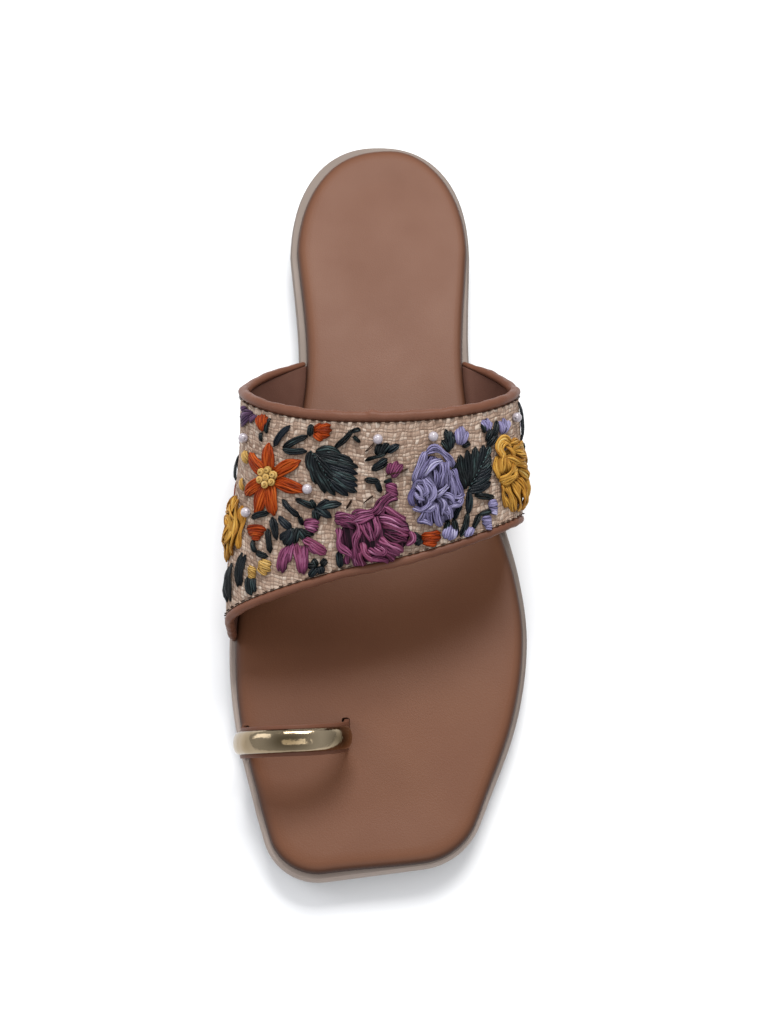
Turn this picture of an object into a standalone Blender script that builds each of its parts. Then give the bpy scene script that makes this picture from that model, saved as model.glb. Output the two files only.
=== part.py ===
"""Left kolhapuri slide: a flat square-toed sole, a slanting embroidered instep band and a gold-trimmed toe loop.

The sizes below are millimetres, and the meshes are made in metres. The toe points along -Y, the inner (big toe)
side is -X, and +Z is up. A station is a distance forward from the back of the heel.
"""

import math

import bmesh
import bpy
from mathutils import Vector

METRE = 0.001
GAP = 0.3
SMOOTH_ANGLE = math.radians(40.0)
SIGN = {"inner": -1.0, "outer": 1.0}

# Sole outline
SOLE_LENGTH = 245.0
HEEL_DEPTH = 44.0
HEEL_FULLNESS = 2.3
HEEL_POINTS = 9
SIDE_POINTS = 20
TOE_FRONT_STATION = 242.0
TOE_FRONT_SLANT = -0.132
TOE_TAPER = {"inner": 0.32, "outer": 0.42}
TOE_CORNER_RADIUS = {"inner": 7.5, "outer": 9.0}
CORNER_POINTS = 6

# Half widths of the midsole, and the width of the rim that it shows round the insole
SOLE_COLUMNS = ("station", "inner", "outer", "inner rim", "outer rim")
SOLE_ROWS = (
    (44.0, 28.8, 29.8, 2.4, 1.6),
    (82.0, 25.2, 28.8, 2.7, 2.7),
    (105.0, 27.2, 31.2, 2.7, 2.7),
    (130.0, 35.6, 36.6, 2.7, 2.7),
    (155.0, 42.0, 42.4, 2.7, 1.9),
    (176.0, 43.6, 44.0, 2.5, 1.7),
    (200.0, 41.0, 40.0, 1.9, 1.7),
    (226.0, 34.0, 30.1, 1.8, 1.7),
)

# Side profile of the sole
HEEL_HEIGHT = 12.0
FOREFOOT_HEIGHT = 8.0
TOE_SPRING = 2.0
HEEL_SEAT_END = 60.0
FOREFOOT_START = 160.0
TOE_SPRING_START = 195.0
HEEL_BREAST = 53.0
BREAST_RUN = 9.0
MIDSOLE_THICKNESS = 4.0
INSOLE_THICKNESS = 3.2
OUTSOLE_INSET = 0.8

# Edge shapes, from the bottom up: how far in, and the share of the layer's height
OUTSOLE_EDGE = ((1.4, 0.0), (0.0, 0.3), (0.0, 1.0))
MIDSOLE_EDGE = ((0.7, 0.0), (0.15, 0.2), (0.0, 0.5), (0.15, 0.8), (0.7, 1.0))
INSOLE_EDGE = ((0.3, 0.0), (0.0, 0.3), (0.25, 0.62), (1.1, 0.88), (3.0, 1.0))

# The last inside the instep band: half breadths at the girth height, which is where each section is widest
LAST_COLUMNS = ("station", "crown height", "crown x", "inner", "outer", "girth height")
LAST_ROWS = (
    (85.0, 76.0, -2.0, 36.0, 37.0, 37.0),
    (106.0, 67.5, -2.5, 38.2, 39.2, 36.0),
    (128.0, 58.5, -3.0, 38.3, 40.0, 33.5),
    (147.0, 50.0, -3.5, 40.0, 40.0, 30.0),
    (165.0, 42.5, -4.0, 41.3, 40.4, 26.0),
    (176.0, 38.5, -4.0, 41.1, 40.6, 23.0),
)
CROWN_FULLNESS = 2.35
GIRTH_TURN = 0.64
FOOT_INSET = 2.4

# Instep band: the stations where its edges meet the sole, and how far they reach towards the toe at the crown
COLLAR_FOOT = 85.0
COLLAR_REACH = 44.0
FRONT_INNER_FOOT = 174.0
FRONT_OUTER_FOOT = 139.5
FRONT_REACH = 8.2
BAND_WALL = 1.8
BAND_TURNS = 46
BAND_STEPS = 9
FOOT_TURN = 0.8

# Rolled bindings on the band's two edges
COLLAR_BINDING_RADIUS = 1.55
FRONT_BINDING_RADIUS = 1.2
BINDING_END_SHARE = 0.5
BINDING_TAPER_TURN = 0.84
BINDING_SIDES = 8

# Toe loop and its gold plate
LOOP_INNER_STATION = 206.2
LOOP_OUTER_STATION = 203.8
LOOP_INNER_INSET = 2.2
LOOP_OUTER_X = -9.0
LOOP_RISE = 22.0
LOOP_LEAN = math.radians(16.0)
LOOP_LEAN_RISE = 9.0
LOOP_FULLNESS = 2.6
LOOP_BULGE = 0.7
LOOP_WIDTH = 8.4
LOOP_THICKNESS = 1.6
LOOP_ROUNDING = 0.45
LOOP_STEPS = 22
SLOT_CLEARANCE = 0.6
SLOT_DEPTH = 20.0
PLATE_WIDTH = 6.4
PLATE_THICKNESS = 2.0
PLATE_DOME = 0.8
PLATE_START = 0.09
PLATE_END = 0.88
PLATE_END_SHARE = 0.06
PLATE_TIP = 0.3
PLATE_STEPS = 26
PLATE_ARC_POINTS = 8

# Roses of wound strips on the band: place, half sizes round and across the band, height, folds and their turn
ROSE_COLUMNS = ("turn", "across", "half round", "half across", "height", "folds", "twist")
ROSES = {
    "lavender_rose": ((0.16, 0.45, 7.3, 11.5, 4.6, 7, 0.9), "lavender"),
    "mauve_rose": ((0.015, 0.19, 12.3, 8.0, 4.6, 8, -0.8), "mauve"),
    "yellow_rose": ((0.49, 0.36, 7.6, 9.8, 3.2, 6, 0.8), "yellow"),
    "yellow_bloom": ((-0.56, 0.38, 6.5, 9.5, 1.6, 6, -0.7), "yellow"),
}
ROSE_EDGE = 0.3
ROSE_LOBE = 0.07
ROSE_FOLD = 0.17

# Open flower with pointed petals round a heart of knots
DAISY_PLACE = (-0.30, 0.62)
DAISY_PETALS = 7
DAISY_REACH = 9.6
DAISY_WAIST = 0.45
DAISY_THICKNESS = 1.7
DAISY_HEART_SHARE = 0.36
DAISY_HEART_HEIGHT = 3.2
DAISY_EDGE = 0.6

# Two broad leaves
LEAF_COLUMNS = ("turn", "across", "half length", "half width", "tilt")
LEAVES = {
    "inner_leaf": (-0.085, 0.67, 9.0, 6.0, math.radians(-42.0)),
    "outer_leaf": (0.295, 0.54, 6.4, 4.0, math.radians(60.0)),
}
LEAF_POINTEDNESS = 1.45
LEAF_HEIGHT = 1.3
LEAF_EDGE = 0.5

# Rings and points of a raised piece, the share of its size where its middle is closed, and its distance from an edge
PATCH_RINGS = 5
PATCH_POINTS = 28
PATCH_MIDDLE = 0.06
PATCH_MARGIN = 0.01

# Step of a turn or a share over which a slope is measured
SLOPE_STEP = 0.002

# Colour, roughness and metallic value of each finish
FINISHES = {
    "outsole": ((0.055, 0.034, 0.024), 0.7, 0.0),
    "midsole": ((0.60, 0.50, 0.38), 0.35, 0.8),
    "insole": ((0.24, 0.125, 0.075), 0.5, 0.0),
    "band": ((0.47, 0.34, 0.22), 0.85, 0.0),
    "binding": ((0.26, 0.13, 0.085), 0.5, 0.0),
    "gold": ((0.80, 0.62, 0.32), 0.18, 1.0),
    "lavender": ((0.30, 0.26, 0.52), 0.55, 0.0),
    "mauve": ((0.33, 0.08, 0.24), 0.55, 0.0),
    "yellow": ((0.72, 0.38, 0.05), 0.55, 0.0),
    "orange": ((0.62, 0.10, 0.02), 0.55, 0.0),
    "leaf": ((0.02, 0.05, 0.045), 0.5, 0.0),
}


def clear_scene():
    for old in list(bpy.data.objects):
        bpy.data.objects.remove(old)


def material(name):
    colour, roughness, metallic = FINISHES[name]
    made = bpy.data.materials.get(name) or bpy.data.materials.new(name)
    made.use_nodes = True
    shader = made.node_tree.nodes["Principled BSDF"]
    shader.inputs["Base Color"].default_value = (*colour, 1.0)
    shader.inputs["Roughness"].default_value = roughness
    shader.inputs["Metallic"].default_value = metallic
    return made


def add_object(name, shape, finish):
    """A named object from a finished bmesh, smooth but for its sharp edges."""
    bmesh.ops.recalc_face_normals(shape, faces=shape.faces)
    mesh = bpy.data.meshes.new(name)
    shape.to_mesh(mesh)
    shape.free()
    mesh.shade_smooth()
    mesh.set_sharp_from_angle(angle=SMOOTH_ANGLE)
    mesh.materials.append(material(finish))
    made = bpy.data.objects.new(name, mesh)
    bpy.context.scene.collection.objects.link(made)
    return made


def add_loft(name, rings, finish):
    """A solid through equal rings of points. Each end is closed by rungs from one half of its ring to the other."""
    shape = bmesh.new()
    loops = [[shape.verts.new(Vector(point) * METRE) for point in ring] for ring in rings]
    count = len(loops[0])
    for one, two in zip(loops, loops[1:]):
        for i in range(count):
            after = (i + 1) % count
            shape.faces.new((one[i], one[after], two[after], two[i]))
    for end in (loops[0], loops[-1]):
        for i in range(count // 2 - 1):
            shape.faces.new((end[i], end[i + 1], end[count - 2 - i], end[count - 1 - i]))
    return add_object(name, shape, finish)


def mix(low, high, share):
    return low + (high - low) * share


def ease(share):
    share = min(max(share, 0.0), 1.0)
    return share * share * (3.0 - 2.0 * share)


def read_table(rows, columns, column, station):
    """A smooth curve through one column of a table, straight past its first and last rows."""
    at = columns.index(column)
    places = [row[0] for row in rows]
    values = [row[at] for row in rows]
    last = len(rows) - 1
    slopes = []
    for i in range(last + 1):
        before, after = max(i - 1, 0), min(i + 1, last)
        slopes.append((values[after] - values[before]) / (places[after] - places[before]))
    if station <= places[0]:
        return values[0] + slopes[0] * (station - places[0])
    if station >= places[last]:
        return values[last] + slopes[last] * (station - places[last])
    i = max(k for k in range(last) if places[k] <= station)
    span = places[i + 1] - places[i]
    t = (station - places[i]) / span
    start = values[i] * (1.0 + 2.0 * t) + slopes[i] * span * t
    finish = values[i + 1] * (3.0 - 2.0 * t) - slopes[i + 1] * span * (1.0 - t)
    return start * (1.0 - t) ** 2 + finish * t**2


def to_y(station):
    return SOLE_LENGTH / 2.0 - station


def to_station(y):
    return SOLE_LENGTH / 2.0 - y


# Sole


def footbed(station):
    """Height of the midsole's top: a level heel seat, a slope through the waist, and the toe spring."""
    drop = ease((station - HEEL_SEAT_END) / (FOREFOOT_START - HEEL_SEAT_END))
    spring = max(0.0, (station - TOE_SPRING_START) / (SOLE_LENGTH - TOE_SPRING_START))
    return mix(HEEL_HEIGHT, FOREFOOT_HEIGHT, drop) + TOE_SPRING * spring**2


def outsole_bottom(station):
    """A flat heel, an arched waist, a flat forefoot and a raised toe."""
    return (footbed(station) - FOREFOOT_HEIGHT) * ease((station - HEEL_BREAST) / BREAST_RUN)


def midsole_bottom(station):
    return footbed(station) - MIDSOLE_THICKNESS


def outsole_top(station):
    return midsole_bottom(station) - GAP


def insole_bottom(station):
    return footbed(station) + GAP


def insole_top(station):
    return insole_bottom(station) + INSOLE_THICKNESS


def half_width(station, side):
    """Distance of the midsole's edge from the centre line."""
    if station >= HEEL_DEPTH:
        return read_table(SOLE_ROWS, SOLE_COLUMNS, side, station)
    back = (HEEL_DEPTH - station) / HEEL_DEPTH
    return half_width(HEEL_DEPTH, side) * (1.0 - back**HEEL_FULLNESS) ** (1.0 / HEEL_FULLNESS)


def toe_corner(side):
    """The rounded corner from the side of the sole to its front edge, as (x, station) points."""
    sign, taper, radius = SIGN[side], TOE_TAPER[side], TOE_CORNER_RADIUS[side]
    station = SOLE_ROWS[-1][0]
    half = half_width(station, side)
    reach = (half - taper * (TOE_FRONT_STATION - station)) / (1.0 + taper * sign * TOE_FRONT_SLANT)
    corner = Vector((sign * reach, TOE_FRONT_STATION + TOE_FRONT_SLANT * sign * reach))
    along_side = (Vector((sign * half, station)) - corner).normalized()
    along_front = Vector((-sign, -sign * TOE_FRONT_SLANT)).normalized()
    half_angle = along_side.angle(along_front) / 2.0
    centre = corner + (along_side + along_front).normalized() * (radius / math.sin(half_angle))
    start = corner + along_side * (radius / math.tan(half_angle)) - centre
    finish = corner + along_front * (radius / math.tan(half_angle)) - centre
    return [centre + start.slerp(finish, i / CORNER_POINTS) * radius for i in range(CORNER_POINTS + 1)]


def side_line(side):
    """One side of the sole from the back of the heel to the front of the toe."""
    stations = []
    for i in range(HEEL_POINTS):
        angle = math.pi / 2.0 * (i + 0.5) / HEEL_POINTS
        stations.append(HEEL_DEPTH * (1.0 - math.cos(angle)))
    for i in range(SIDE_POINTS + 1):
        stations.append(mix(HEEL_DEPTH, SOLE_ROWS[-1][0], i / SIDE_POINTS))
    return [Vector((SIGN[side] * half_width(s, side), s)) for s in stations] + toe_corner(side)


def sole_outline():
    """The midsole's edge as a ring: the inner side from heel to toe, then the outer side back."""
    return [*side_line("inner"), *reversed(side_line("outer"))]


def inset_ring(ring, amounts):
    """The ring moved in along its normals, by one amount for each point."""
    moved = []
    for i, point in enumerate(ring):
        along = (ring[(i + 1) % len(ring)] - ring[i - 1]).normalized()
        moved.append(point + Vector((along.y, -along.x)) * amounts[i])
    return moved


def rim_width(point):
    side = "inner rim" if point.x < 0.0 else "outer rim"
    return read_table(SOLE_ROWS, SOLE_COLUMNS, side, max(point.y, HEEL_DEPTH))


def add_sole_layer(name, edge_rows, insets, low, high):
    """A layer of the sole between two heights, with its edge shaped by rows of inset and rise."""
    outline = sole_outline()
    rings = []
    for inset, rise in edge_rows:
        flat = inset_ring(outline, [own + inset for own in insets])
        rings.append([(p.x, to_y(p.y), mix(low(p.y), high(p.y), rise)) for p in flat])
    return add_loft(name, rings, name)


def add_sole():
    outline = sole_outline()
    tread = [OUTSOLE_INSET] * len(outline)
    full = [0.0] * len(outline)
    rims = [rim_width(point) for point in outline]
    add_sole_layer("outsole", OUTSOLE_EDGE, tread, outsole_bottom, outsole_top)
    add_sole_layer("midsole", MIDSOLE_EDGE, full, midsole_bottom, footbed)
    insole = add_sole_layer("insole", INSOLE_EDGE, rims, insole_bottom, insole_top)
    cut_slot(insole, "inner_slot", 0.0)
    cut_slot(insole, "outer_slot", 1.0)


def cut_slot(insole, name, share):
    """The slot in the insole that one foot of the toe loop goes through."""
    shape = bmesh.new()
    bmesh.ops.create_cube(shape, size=METRE)
    size = (LOOP_THICKNESS + 2.0 * SLOT_CLEARANCE, LOOP_WIDTH + 2.0 * SLOT_CLEARANCE, SLOT_DEPTH)
    bmesh.ops.scale(shape, vec=size, verts=shape.verts)
    bmesh.ops.translate(shape, vec=loop_path(share)[0] * METRE, verts=shape.verts)
    cutter = add_object(name, shape, "insole")
    cutter.hide_render = True
    cutter.display_type = "WIRE"
    cut = insole.modifiers.new(name, "BOOLEAN")
    cut.operation = "DIFFERENCE"
    cut.solver = "EXACT"
    cut.object = cutter


# Instep band


def last_value(column, station):
    return read_table(LAST_ROWS, LAST_COLUMNS, column, station)


def last_point(station, turn):
    """A point on the last. Turn is -1 at the inner foot of the band, 0 at the crown and 1 at the outer foot."""
    side = "inner" if turn < 0.0 else "outer"
    sign = SIGN[side]
    girth = last_value("girth height", station)
    breadth = last_value(side, station)
    if abs(turn) <= GIRTH_TURN:
        crown_x = last_value("crown x", station)
        angle = math.pi / 2.0 * (1.0 - abs(turn) / GIRTH_TURN)
        power = 2.0 / CROWN_FULLNESS
        x = mix(crown_x, sign * breadth, math.cos(angle) ** power)
        z = mix(girth, last_value("crown height", station), math.sin(angle) ** power)
    else:
        rise = (1.0 - abs(turn)) / (1.0 - GIRTH_TURN)
        foot = half_width(station, side) - FOOT_INSET
        x = sign * mix(foot, breadth, 1.0 - (1.0 - rise) ** 2)
        z = mix(footbed(station) + GAP, girth, rise)
    return Vector((x, to_y(station), z))


def band_surface(turn, across):
    """A point on the inside of the band. Across is 0 at the front edge and 1 at the collar."""
    lean = math.cos(turn * math.pi / 2.0)
    slant = (1.0 + math.sin(turn * math.pi / 2.0)) / 2.0
    front = mix(FRONT_INNER_FOOT, FRONT_OUTER_FOOT, slant) + FRONT_REACH * lean**2
    collar = COLLAR_FOOT + COLLAR_REACH * lean
    return last_point(mix(front, collar, across), turn)


def band_slopes(turn, across):
    """How the band's surface moves for one unit of turn, and for one unit of across."""
    low, high = max(turn - SLOPE_STEP, -1.0), min(turn + SLOPE_STEP, 1.0)
    round_it = (band_surface(high, across) - band_surface(low, across)) / (high - low)
    rise = band_surface(turn, across + SLOPE_STEP) - band_surface(turn, across - SLOPE_STEP)
    return round_it, rise / (2.0 * SLOPE_STEP)


def band_outward(turn, across):
    """The way out of the band's wall, which is level where the wall stands on the sole."""
    round_it, up_it = band_slopes(turn, across)
    outward = up_it.cross(round_it).normalized()
    if outward.dot(Vector((turn, 0.0, 1.0 - abs(turn)))) < 0.0:
        outward.negate()
    outward.z *= 1.0 - ease((abs(turn) - FOOT_TURN) / (1.0 - FOOT_TURN))
    return outward.normalized()


def band_point(turn, across, depth):
    return band_surface(turn, across) + band_outward(turn, across) * depth


def band_turns():
    return [mix(-1.0, 1.0, i / BAND_TURNS) for i in range(BAND_TURNS + 1)]


def add_band():
    """The instep band: one wall from the last outwards, open at the collar, at the front and below."""
    shares = [j / BAND_STEPS for j in range(BAND_STEPS + 1)]
    rings = []
    for turn in band_turns():
        inside = [band_point(turn, share, 0.0) for share in shares]
        outside = [band_point(turn, share, BAND_WALL) for share in reversed(shares)]
        rings.append([*inside, *outside])
    add_loft("instep_band", rings, "band")


def add_binding(name, across, way, full_radius):
    """A leather roll along one edge of the band, thinner where it goes down to the sole."""
    rings = []
    for turn in band_turns():
        taper = ease((abs(turn) - BINDING_TAPER_TURN) / (1.0 - BINDING_TAPER_TURN))
        radius = full_radius * mix(1.0, BINDING_END_SHARE, taper)
        outward = band_outward(turn, across)
        along = band_slopes(turn, across)[1].normalized() * way
        middle = band_point(turn, across, BAND_WALL / 2.0) + along * (radius + GAP)
        ring = []
        for k in range(BINDING_SIDES):
            angle = math.tau * k / BINDING_SIDES
            point = middle + along * (radius * math.cos(angle)) + outward * (radius * math.sin(angle))
            point.z = max(point.z, footbed(to_station(point.y)) + GAP)
            ring.append(point)
        rings.append(ring)
    add_loft(name, rings, "binding")


# Raised embroidery


def add_patch(name, place, finish, edge, height):
    """A raised piece of the band's own surface, out to edge(angle) and as thick as height(share, angle)."""
    turn, across = place
    round_it, up_it = band_slopes(turn, across)
    skew = up_it.dot(round_it.normalized())
    climb = math.sqrt(up_it.length_squared - skew**2)
    below, above = [], []
    for i in range(PATCH_RINGS + 1):
        share = mix(PATCH_MIDDLE, 1.0, i / PATCH_RINGS)
        low, high = [], []
        for k in range(PATCH_POINTS):
            angle = math.tau * k / PATCH_POINTS
            round_reach, across_reach = edge(angle)
            there_across = across + share * across_reach / climb
            there_turn = turn + (share * round_reach - skew * (there_across - across)) / round_it.length
            there_across = min(max(there_across, PATCH_MARGIN), 1.0 - PATCH_MARGIN)
            low.append(band_point(there_turn, there_across, BAND_WALL + GAP))
            high.append(band_point(there_turn, there_across, BAND_WALL + GAP + height(share, angle)))
        below.append(low)
        above.append(high)
    add_loft(name, [*below, *reversed(above)], finish)


def add_rose(name, row, finish):
    """A rosette of wound strips: a dome with a lobed edge and folds that turn as they go out."""
    size = dict(zip(ROSE_COLUMNS, row))

    def edge(angle):
        lobe = 1.0 + ROSE_LOBE * math.cos(size["folds"] * angle)
        return size["half round"] * lobe * math.cos(angle), size["half across"] * lobe * math.sin(angle)

    def height(share, angle):
        dome = math.sqrt(1.0 - (1.0 - ROSE_EDGE**2) * share**2)
        fold = math.cos(size["folds"] * (angle + size["twist"] * (1.0 - share))) * min(share * 2.0, 1.0)
        return size["height"] * dome * (1.0 + ROSE_FOLD * fold)

    add_patch(name, (size["turn"], size["across"]), finish, edge, height)


def add_daisy():
    """The open flower, with one petal towards the collar."""

    def edge(angle):
        point = abs(math.cos(DAISY_PETALS * (angle - math.pi / 2.0) / 2.0))
        reach = DAISY_REACH * mix(DAISY_WAIST, 1.0, point)
        return reach * math.cos(angle), reach * math.sin(angle)

    def height(share, _angle):
        heart = 1.0 - ease((share - DAISY_HEART_SHARE / 2.0) / DAISY_HEART_SHARE)
        return mix(DAISY_THICKNESS, DAISY_HEART_HEIGHT, heart) * mix(1.0, DAISY_EDGE, share**2)

    add_patch("orange_daisy", DAISY_PLACE, "orange", edge, height)


def add_leaf(name, row):
    """A broad pointed leaf, highest in its middle."""
    size = dict(zip(LEAF_COLUMNS, row))

    def edge(angle):
        long_share = abs(math.cos(angle)) / size["half length"]
        wide_share = abs(math.sin(angle)) / size["half width"]
        reach = (long_share**LEAF_POINTEDNESS + wide_share**LEAF_POINTEDNESS) ** (-1.0 / LEAF_POINTEDNESS)
        return reach * math.cos(angle + size["tilt"]), reach * math.sin(angle + size["tilt"])

    def height(share, _angle):
        return LEAF_HEIGHT * mix(1.0, LEAF_EDGE, share**2)

    add_patch(name, (size["turn"], size["across"]), "leaf", edge, height)


# Toe loop


def loop_path(share):
    """Middle line of the toe loop, from its inner foot over the big toe to its outer foot, and its lean there."""
    station = mix(LOOP_INNER_STATION, LOOP_OUTER_STATION, share)
    inner_x = LOOP_INNER_INSET - half_width(LOOP_INNER_STATION, "inner")
    half_span = (LOOP_OUTER_X - inner_x) / 2.0
    angle = math.pi * (1.0 - share)
    power = 2.0 / LOOP_FULLNESS
    across = math.copysign(abs(math.cos(angle)) ** power, math.cos(angle))
    rise = max(math.sin(angle), 0.0) ** power
    height = LOOP_RISE * rise
    lean = LOOP_LEAN * ease(height / LOOP_LEAN_RISE)
    x = inner_x + half_span * (1.0 + across) + LOOP_BULGE * math.sin(math.pi * rise) * across
    y = to_y(station) - height * math.tan(lean)
    return Vector((x, y, footbed(station) + GAP + height)), lean


def loop_point(share, depth, wide):
    """A point of the loop, moved out from its middle line by depth and towards the toe by wide."""
    along = loop_path(min(share + SLOPE_STEP, 1.0))[0] - loop_path(max(share - SLOPE_STEP, 0.0))[0]
    middle, lean = loop_path(share)
    forward = Vector((0.0, -math.cos(lean), -math.sin(lean)))
    outward = forward.cross(along).normalized()
    if outward.dot(Vector((2.0 * share - 1.0, 0.0, 1.0))) < 0.0:
        outward.negate()
    return middle + outward * depth + forward * wide


def add_loop():
    """The leather strip of the toe loop, with eased edges."""
    wide, thick = LOOP_WIDTH / 2.0, LOOP_THICKNESS / 2.0
    wide_flat, thick_flat = wide - LOOP_ROUNDING, thick - LOOP_ROUNDING
    back = ((-thick, -wide_flat), (-thick_flat, -wide), (thick_flat, -wide), (thick, -wide_flat))
    front = [(depth, -across) for depth, across in reversed(back)]
    rings = []
    for i in range(LOOP_STEPS + 1):
        rings.append([loop_point(i / LOOP_STEPS, depth, across) for depth, across in (*back, *front)])
    add_loft("toe_loop", rings, "binding")


def add_plate():
    """The domed gold plate along the top of the loop, with rounded ends."""
    base = LOOP_THICKNESS / 2.0 + GAP
    rings = []
    for i in range(PLATE_STEPS + 1):
        along = (1.0 - math.cos(math.pi * i / PLATE_STEPS)) / 2.0
        short = max(0.0, 1.0 - min(along, 1.0 - along) / PLATE_END_SHARE)
        full = mix(PLATE_TIP, 1.0, math.sqrt(1.0 - short**2))
        ring = []
        for k in range(PLATE_ARC_POINTS):
            angle = math.pi * k / (PLATE_ARC_POINTS - 1)
            wide = -PLATE_WIDTH / 2.0 * full * math.cos(angle)
            depth = base + PLATE_THICKNESS * full * math.sin(angle) ** PLATE_DOME
            ring.append(loop_point(mix(PLATE_START, PLATE_END, along), depth, wide))
        rings.append(ring)
    add_loft("toe_loop_trim", rings, "gold")


clear_scene()
add_sole()
add_band()
add_binding("collar_binding", 1.0, 1.0, COLLAR_BINDING_RADIUS)
add_binding("front_binding", 0.0, -1.0, FRONT_BINDING_RADIUS)
add_loop()
add_plate()
for rose, (rose_row, rose_finish) in ROSES.items():
    add_rose(rose, rose_row, rose_finish)
add_daisy()
for leaf, leaf_row in LEAVES.items():
    add_leaf(leaf, leaf_row)
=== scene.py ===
"""Dresses a left slip-on sandal: layered sole, woven instep band with raised embroidery, and toe loop.

Sizes are millimetres until a mesh is made. The toe points along -Y, the big toe side is -X and +Z is up.
A station is a distance forward from the back of the heel. On the band, turn runs from -1 at the inner foot
over 0 at the crown to 1 at the outer foot, and across runs from 0 at the front edge to 1 at the collar.
"""

import logging
import math
from collections.abc import Callable, Sequence
from dataclasses import dataclass, field
from enum import Enum

import bpy
import numpy as np
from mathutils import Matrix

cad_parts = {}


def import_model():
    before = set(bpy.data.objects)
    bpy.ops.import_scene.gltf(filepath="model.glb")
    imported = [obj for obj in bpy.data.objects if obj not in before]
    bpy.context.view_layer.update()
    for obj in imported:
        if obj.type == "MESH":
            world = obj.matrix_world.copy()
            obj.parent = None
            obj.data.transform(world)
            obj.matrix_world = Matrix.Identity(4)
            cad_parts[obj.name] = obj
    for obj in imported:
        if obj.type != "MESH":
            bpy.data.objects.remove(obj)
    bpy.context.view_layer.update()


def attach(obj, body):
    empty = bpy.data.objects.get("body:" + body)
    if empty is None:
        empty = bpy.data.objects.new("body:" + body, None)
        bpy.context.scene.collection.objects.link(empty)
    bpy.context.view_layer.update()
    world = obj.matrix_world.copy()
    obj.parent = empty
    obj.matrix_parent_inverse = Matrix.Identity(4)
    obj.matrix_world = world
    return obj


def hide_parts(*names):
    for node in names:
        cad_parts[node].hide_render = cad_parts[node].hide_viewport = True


Array = np.ndarray
Colour = tuple[float, float, float]
Point = tuple[float, float]
Spot = tuple[float, float, float]
Rows = tuple[tuple[float, ...], ...]
Material = bpy.types.Material
Node = bpy.types.Node
Piece = bpy.types.Object
Socket = bpy.types.NodeSocket

MM = 0.001
GAP = 0.3
WELD = 1e-6
TINY = 1e-12
BODY = "root"
MAP = "UVMap"
SMOOTH_ANGLE = math.radians(40.0)
STRAND_ANGLE = math.radians(60.0)
LIGHT_LEVEL = 1.75
BUMP_DEPTH = 0.0003
WEAVE_PITCH = 1.15
YARN_ROUND = 3.6
FIRST_SEED = 11
SEED_STEP = 7
log = logging.getLogger("slide")


class Side(Enum):
    """The two sides of the shoe, with the sign of their x."""

    INNER = -1.0
    OUTER = 1.0


class Ends(Enum):
    """How a strip ends, as the share of its length over which it narrows."""

    BLUNT = 0.1
    POINTED = 0.34


def shown(red: float, green: float, blue: float) -> Colour:
    """The linear colour that shows as display values of 0 to 255 under the studio's light."""
    shares = [value / 255.0 for value in (red, green, blue)]
    return tuple((s / 12.92 if s <= 0.04045 else ((s + 0.055) / 1.055) ** 2.4) / LIGHT_LEVEL for s in shares)


def mix(low: Array, high: Array, share: Array) -> Array:
    """The value at a share of the way from low to high."""
    return low + (high - low) * share


def ease(share: Array) -> Array:
    """A share from 0 to 1 that starts and stops gently."""
    share = np.clip(share, 0.0, 1.0)
    return share * share * (3.0 - 2.0 * share)


def bow(share: Array, power: float = 1.0) -> Array:
    """A rise from 0 at both ends to 1 in the middle, broader for a smaller power."""
    return np.sin(share * math.pi) ** power


def squared(wave: Array, power: float) -> Array:
    """A sine or cosine with its sign kept, squarer for a smaller power."""
    return np.sign(wave) * np.abs(wave) ** power


def unit(vectors: Array) -> Array:
    """The vectors at length 1."""
    return vectors / np.maximum(np.linalg.norm(vectors, axis=-1, keepdims=True), TINY)


def smooth_line(points: Sequence, count: int) -> Array:
    """A smooth line through points.

    Args:
        points: The points to pass through, of any number of values each.
        count: How many points the line gets.

    Returns:
        The line's points, as far apart along it as the given ones are.
    """
    given = np.array(points, float)
    padded = np.concatenate((2.0 * given[:1] - given[1:2], given, 2.0 * given[-1:] - given[-2:-1]))
    places = np.linspace(0.0, len(given) - 1.0, count)
    at = np.minimum(places.astype(int), len(given) - 2)
    t = (places - at)[:, None]
    a, b, c, d = (padded[at + k] for k in range(4))
    return 0.5 * (2.0 * b + (c - a) * t + (2 * a - 5 * b + 4 * c - d) * t**2 + (3 * b - a - 3 * c + d) * t**3)


@dataclass(frozen=True)
class Table:
    """Rows of sizes along the shoe, read as smooth curves of the first column."""

    columns: tuple[str, ...]
    rows: Rows

    def read(self, column: str, station: Array) -> Array:
        """One column's curve, straight past the first and last rows.

        Args:
            column: The column's name.
            station: Where to read it.

        Returns:
            The column's values there.
        """
        data = np.array(self.rows)
        places, values = data[:, 0], data[:, self.columns.index(column)]
        last = len(places) - 1
        before = np.maximum(np.arange(last + 1) - 1, 0)
        after = np.minimum(np.arange(last + 1) + 1, last)
        slopes = (values[after] - values[before]) / (places[after] - places[before])
        at = np.clip(np.searchsorted(places, station, "right") - 1, 0, last - 1)
        span = places[at + 1] - places[at]
        t = (station - places[at]) / span
        start = values[at] * (1.0 + 2.0 * t) + slopes[at] * span * t
        finish = values[at + 1] * (3.0 - 2.0 * t) - slopes[at + 1] * span * (1.0 - t)
        curve = start * (1.0 - t) ** 2 + finish * t**2
        low = values[0] + slopes[0] * (station - places[0])
        high = values[last] + slopes[last] * (station - places[last])
        return np.where(station < places[0], low, np.where(station > places[last], high, curve))


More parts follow.
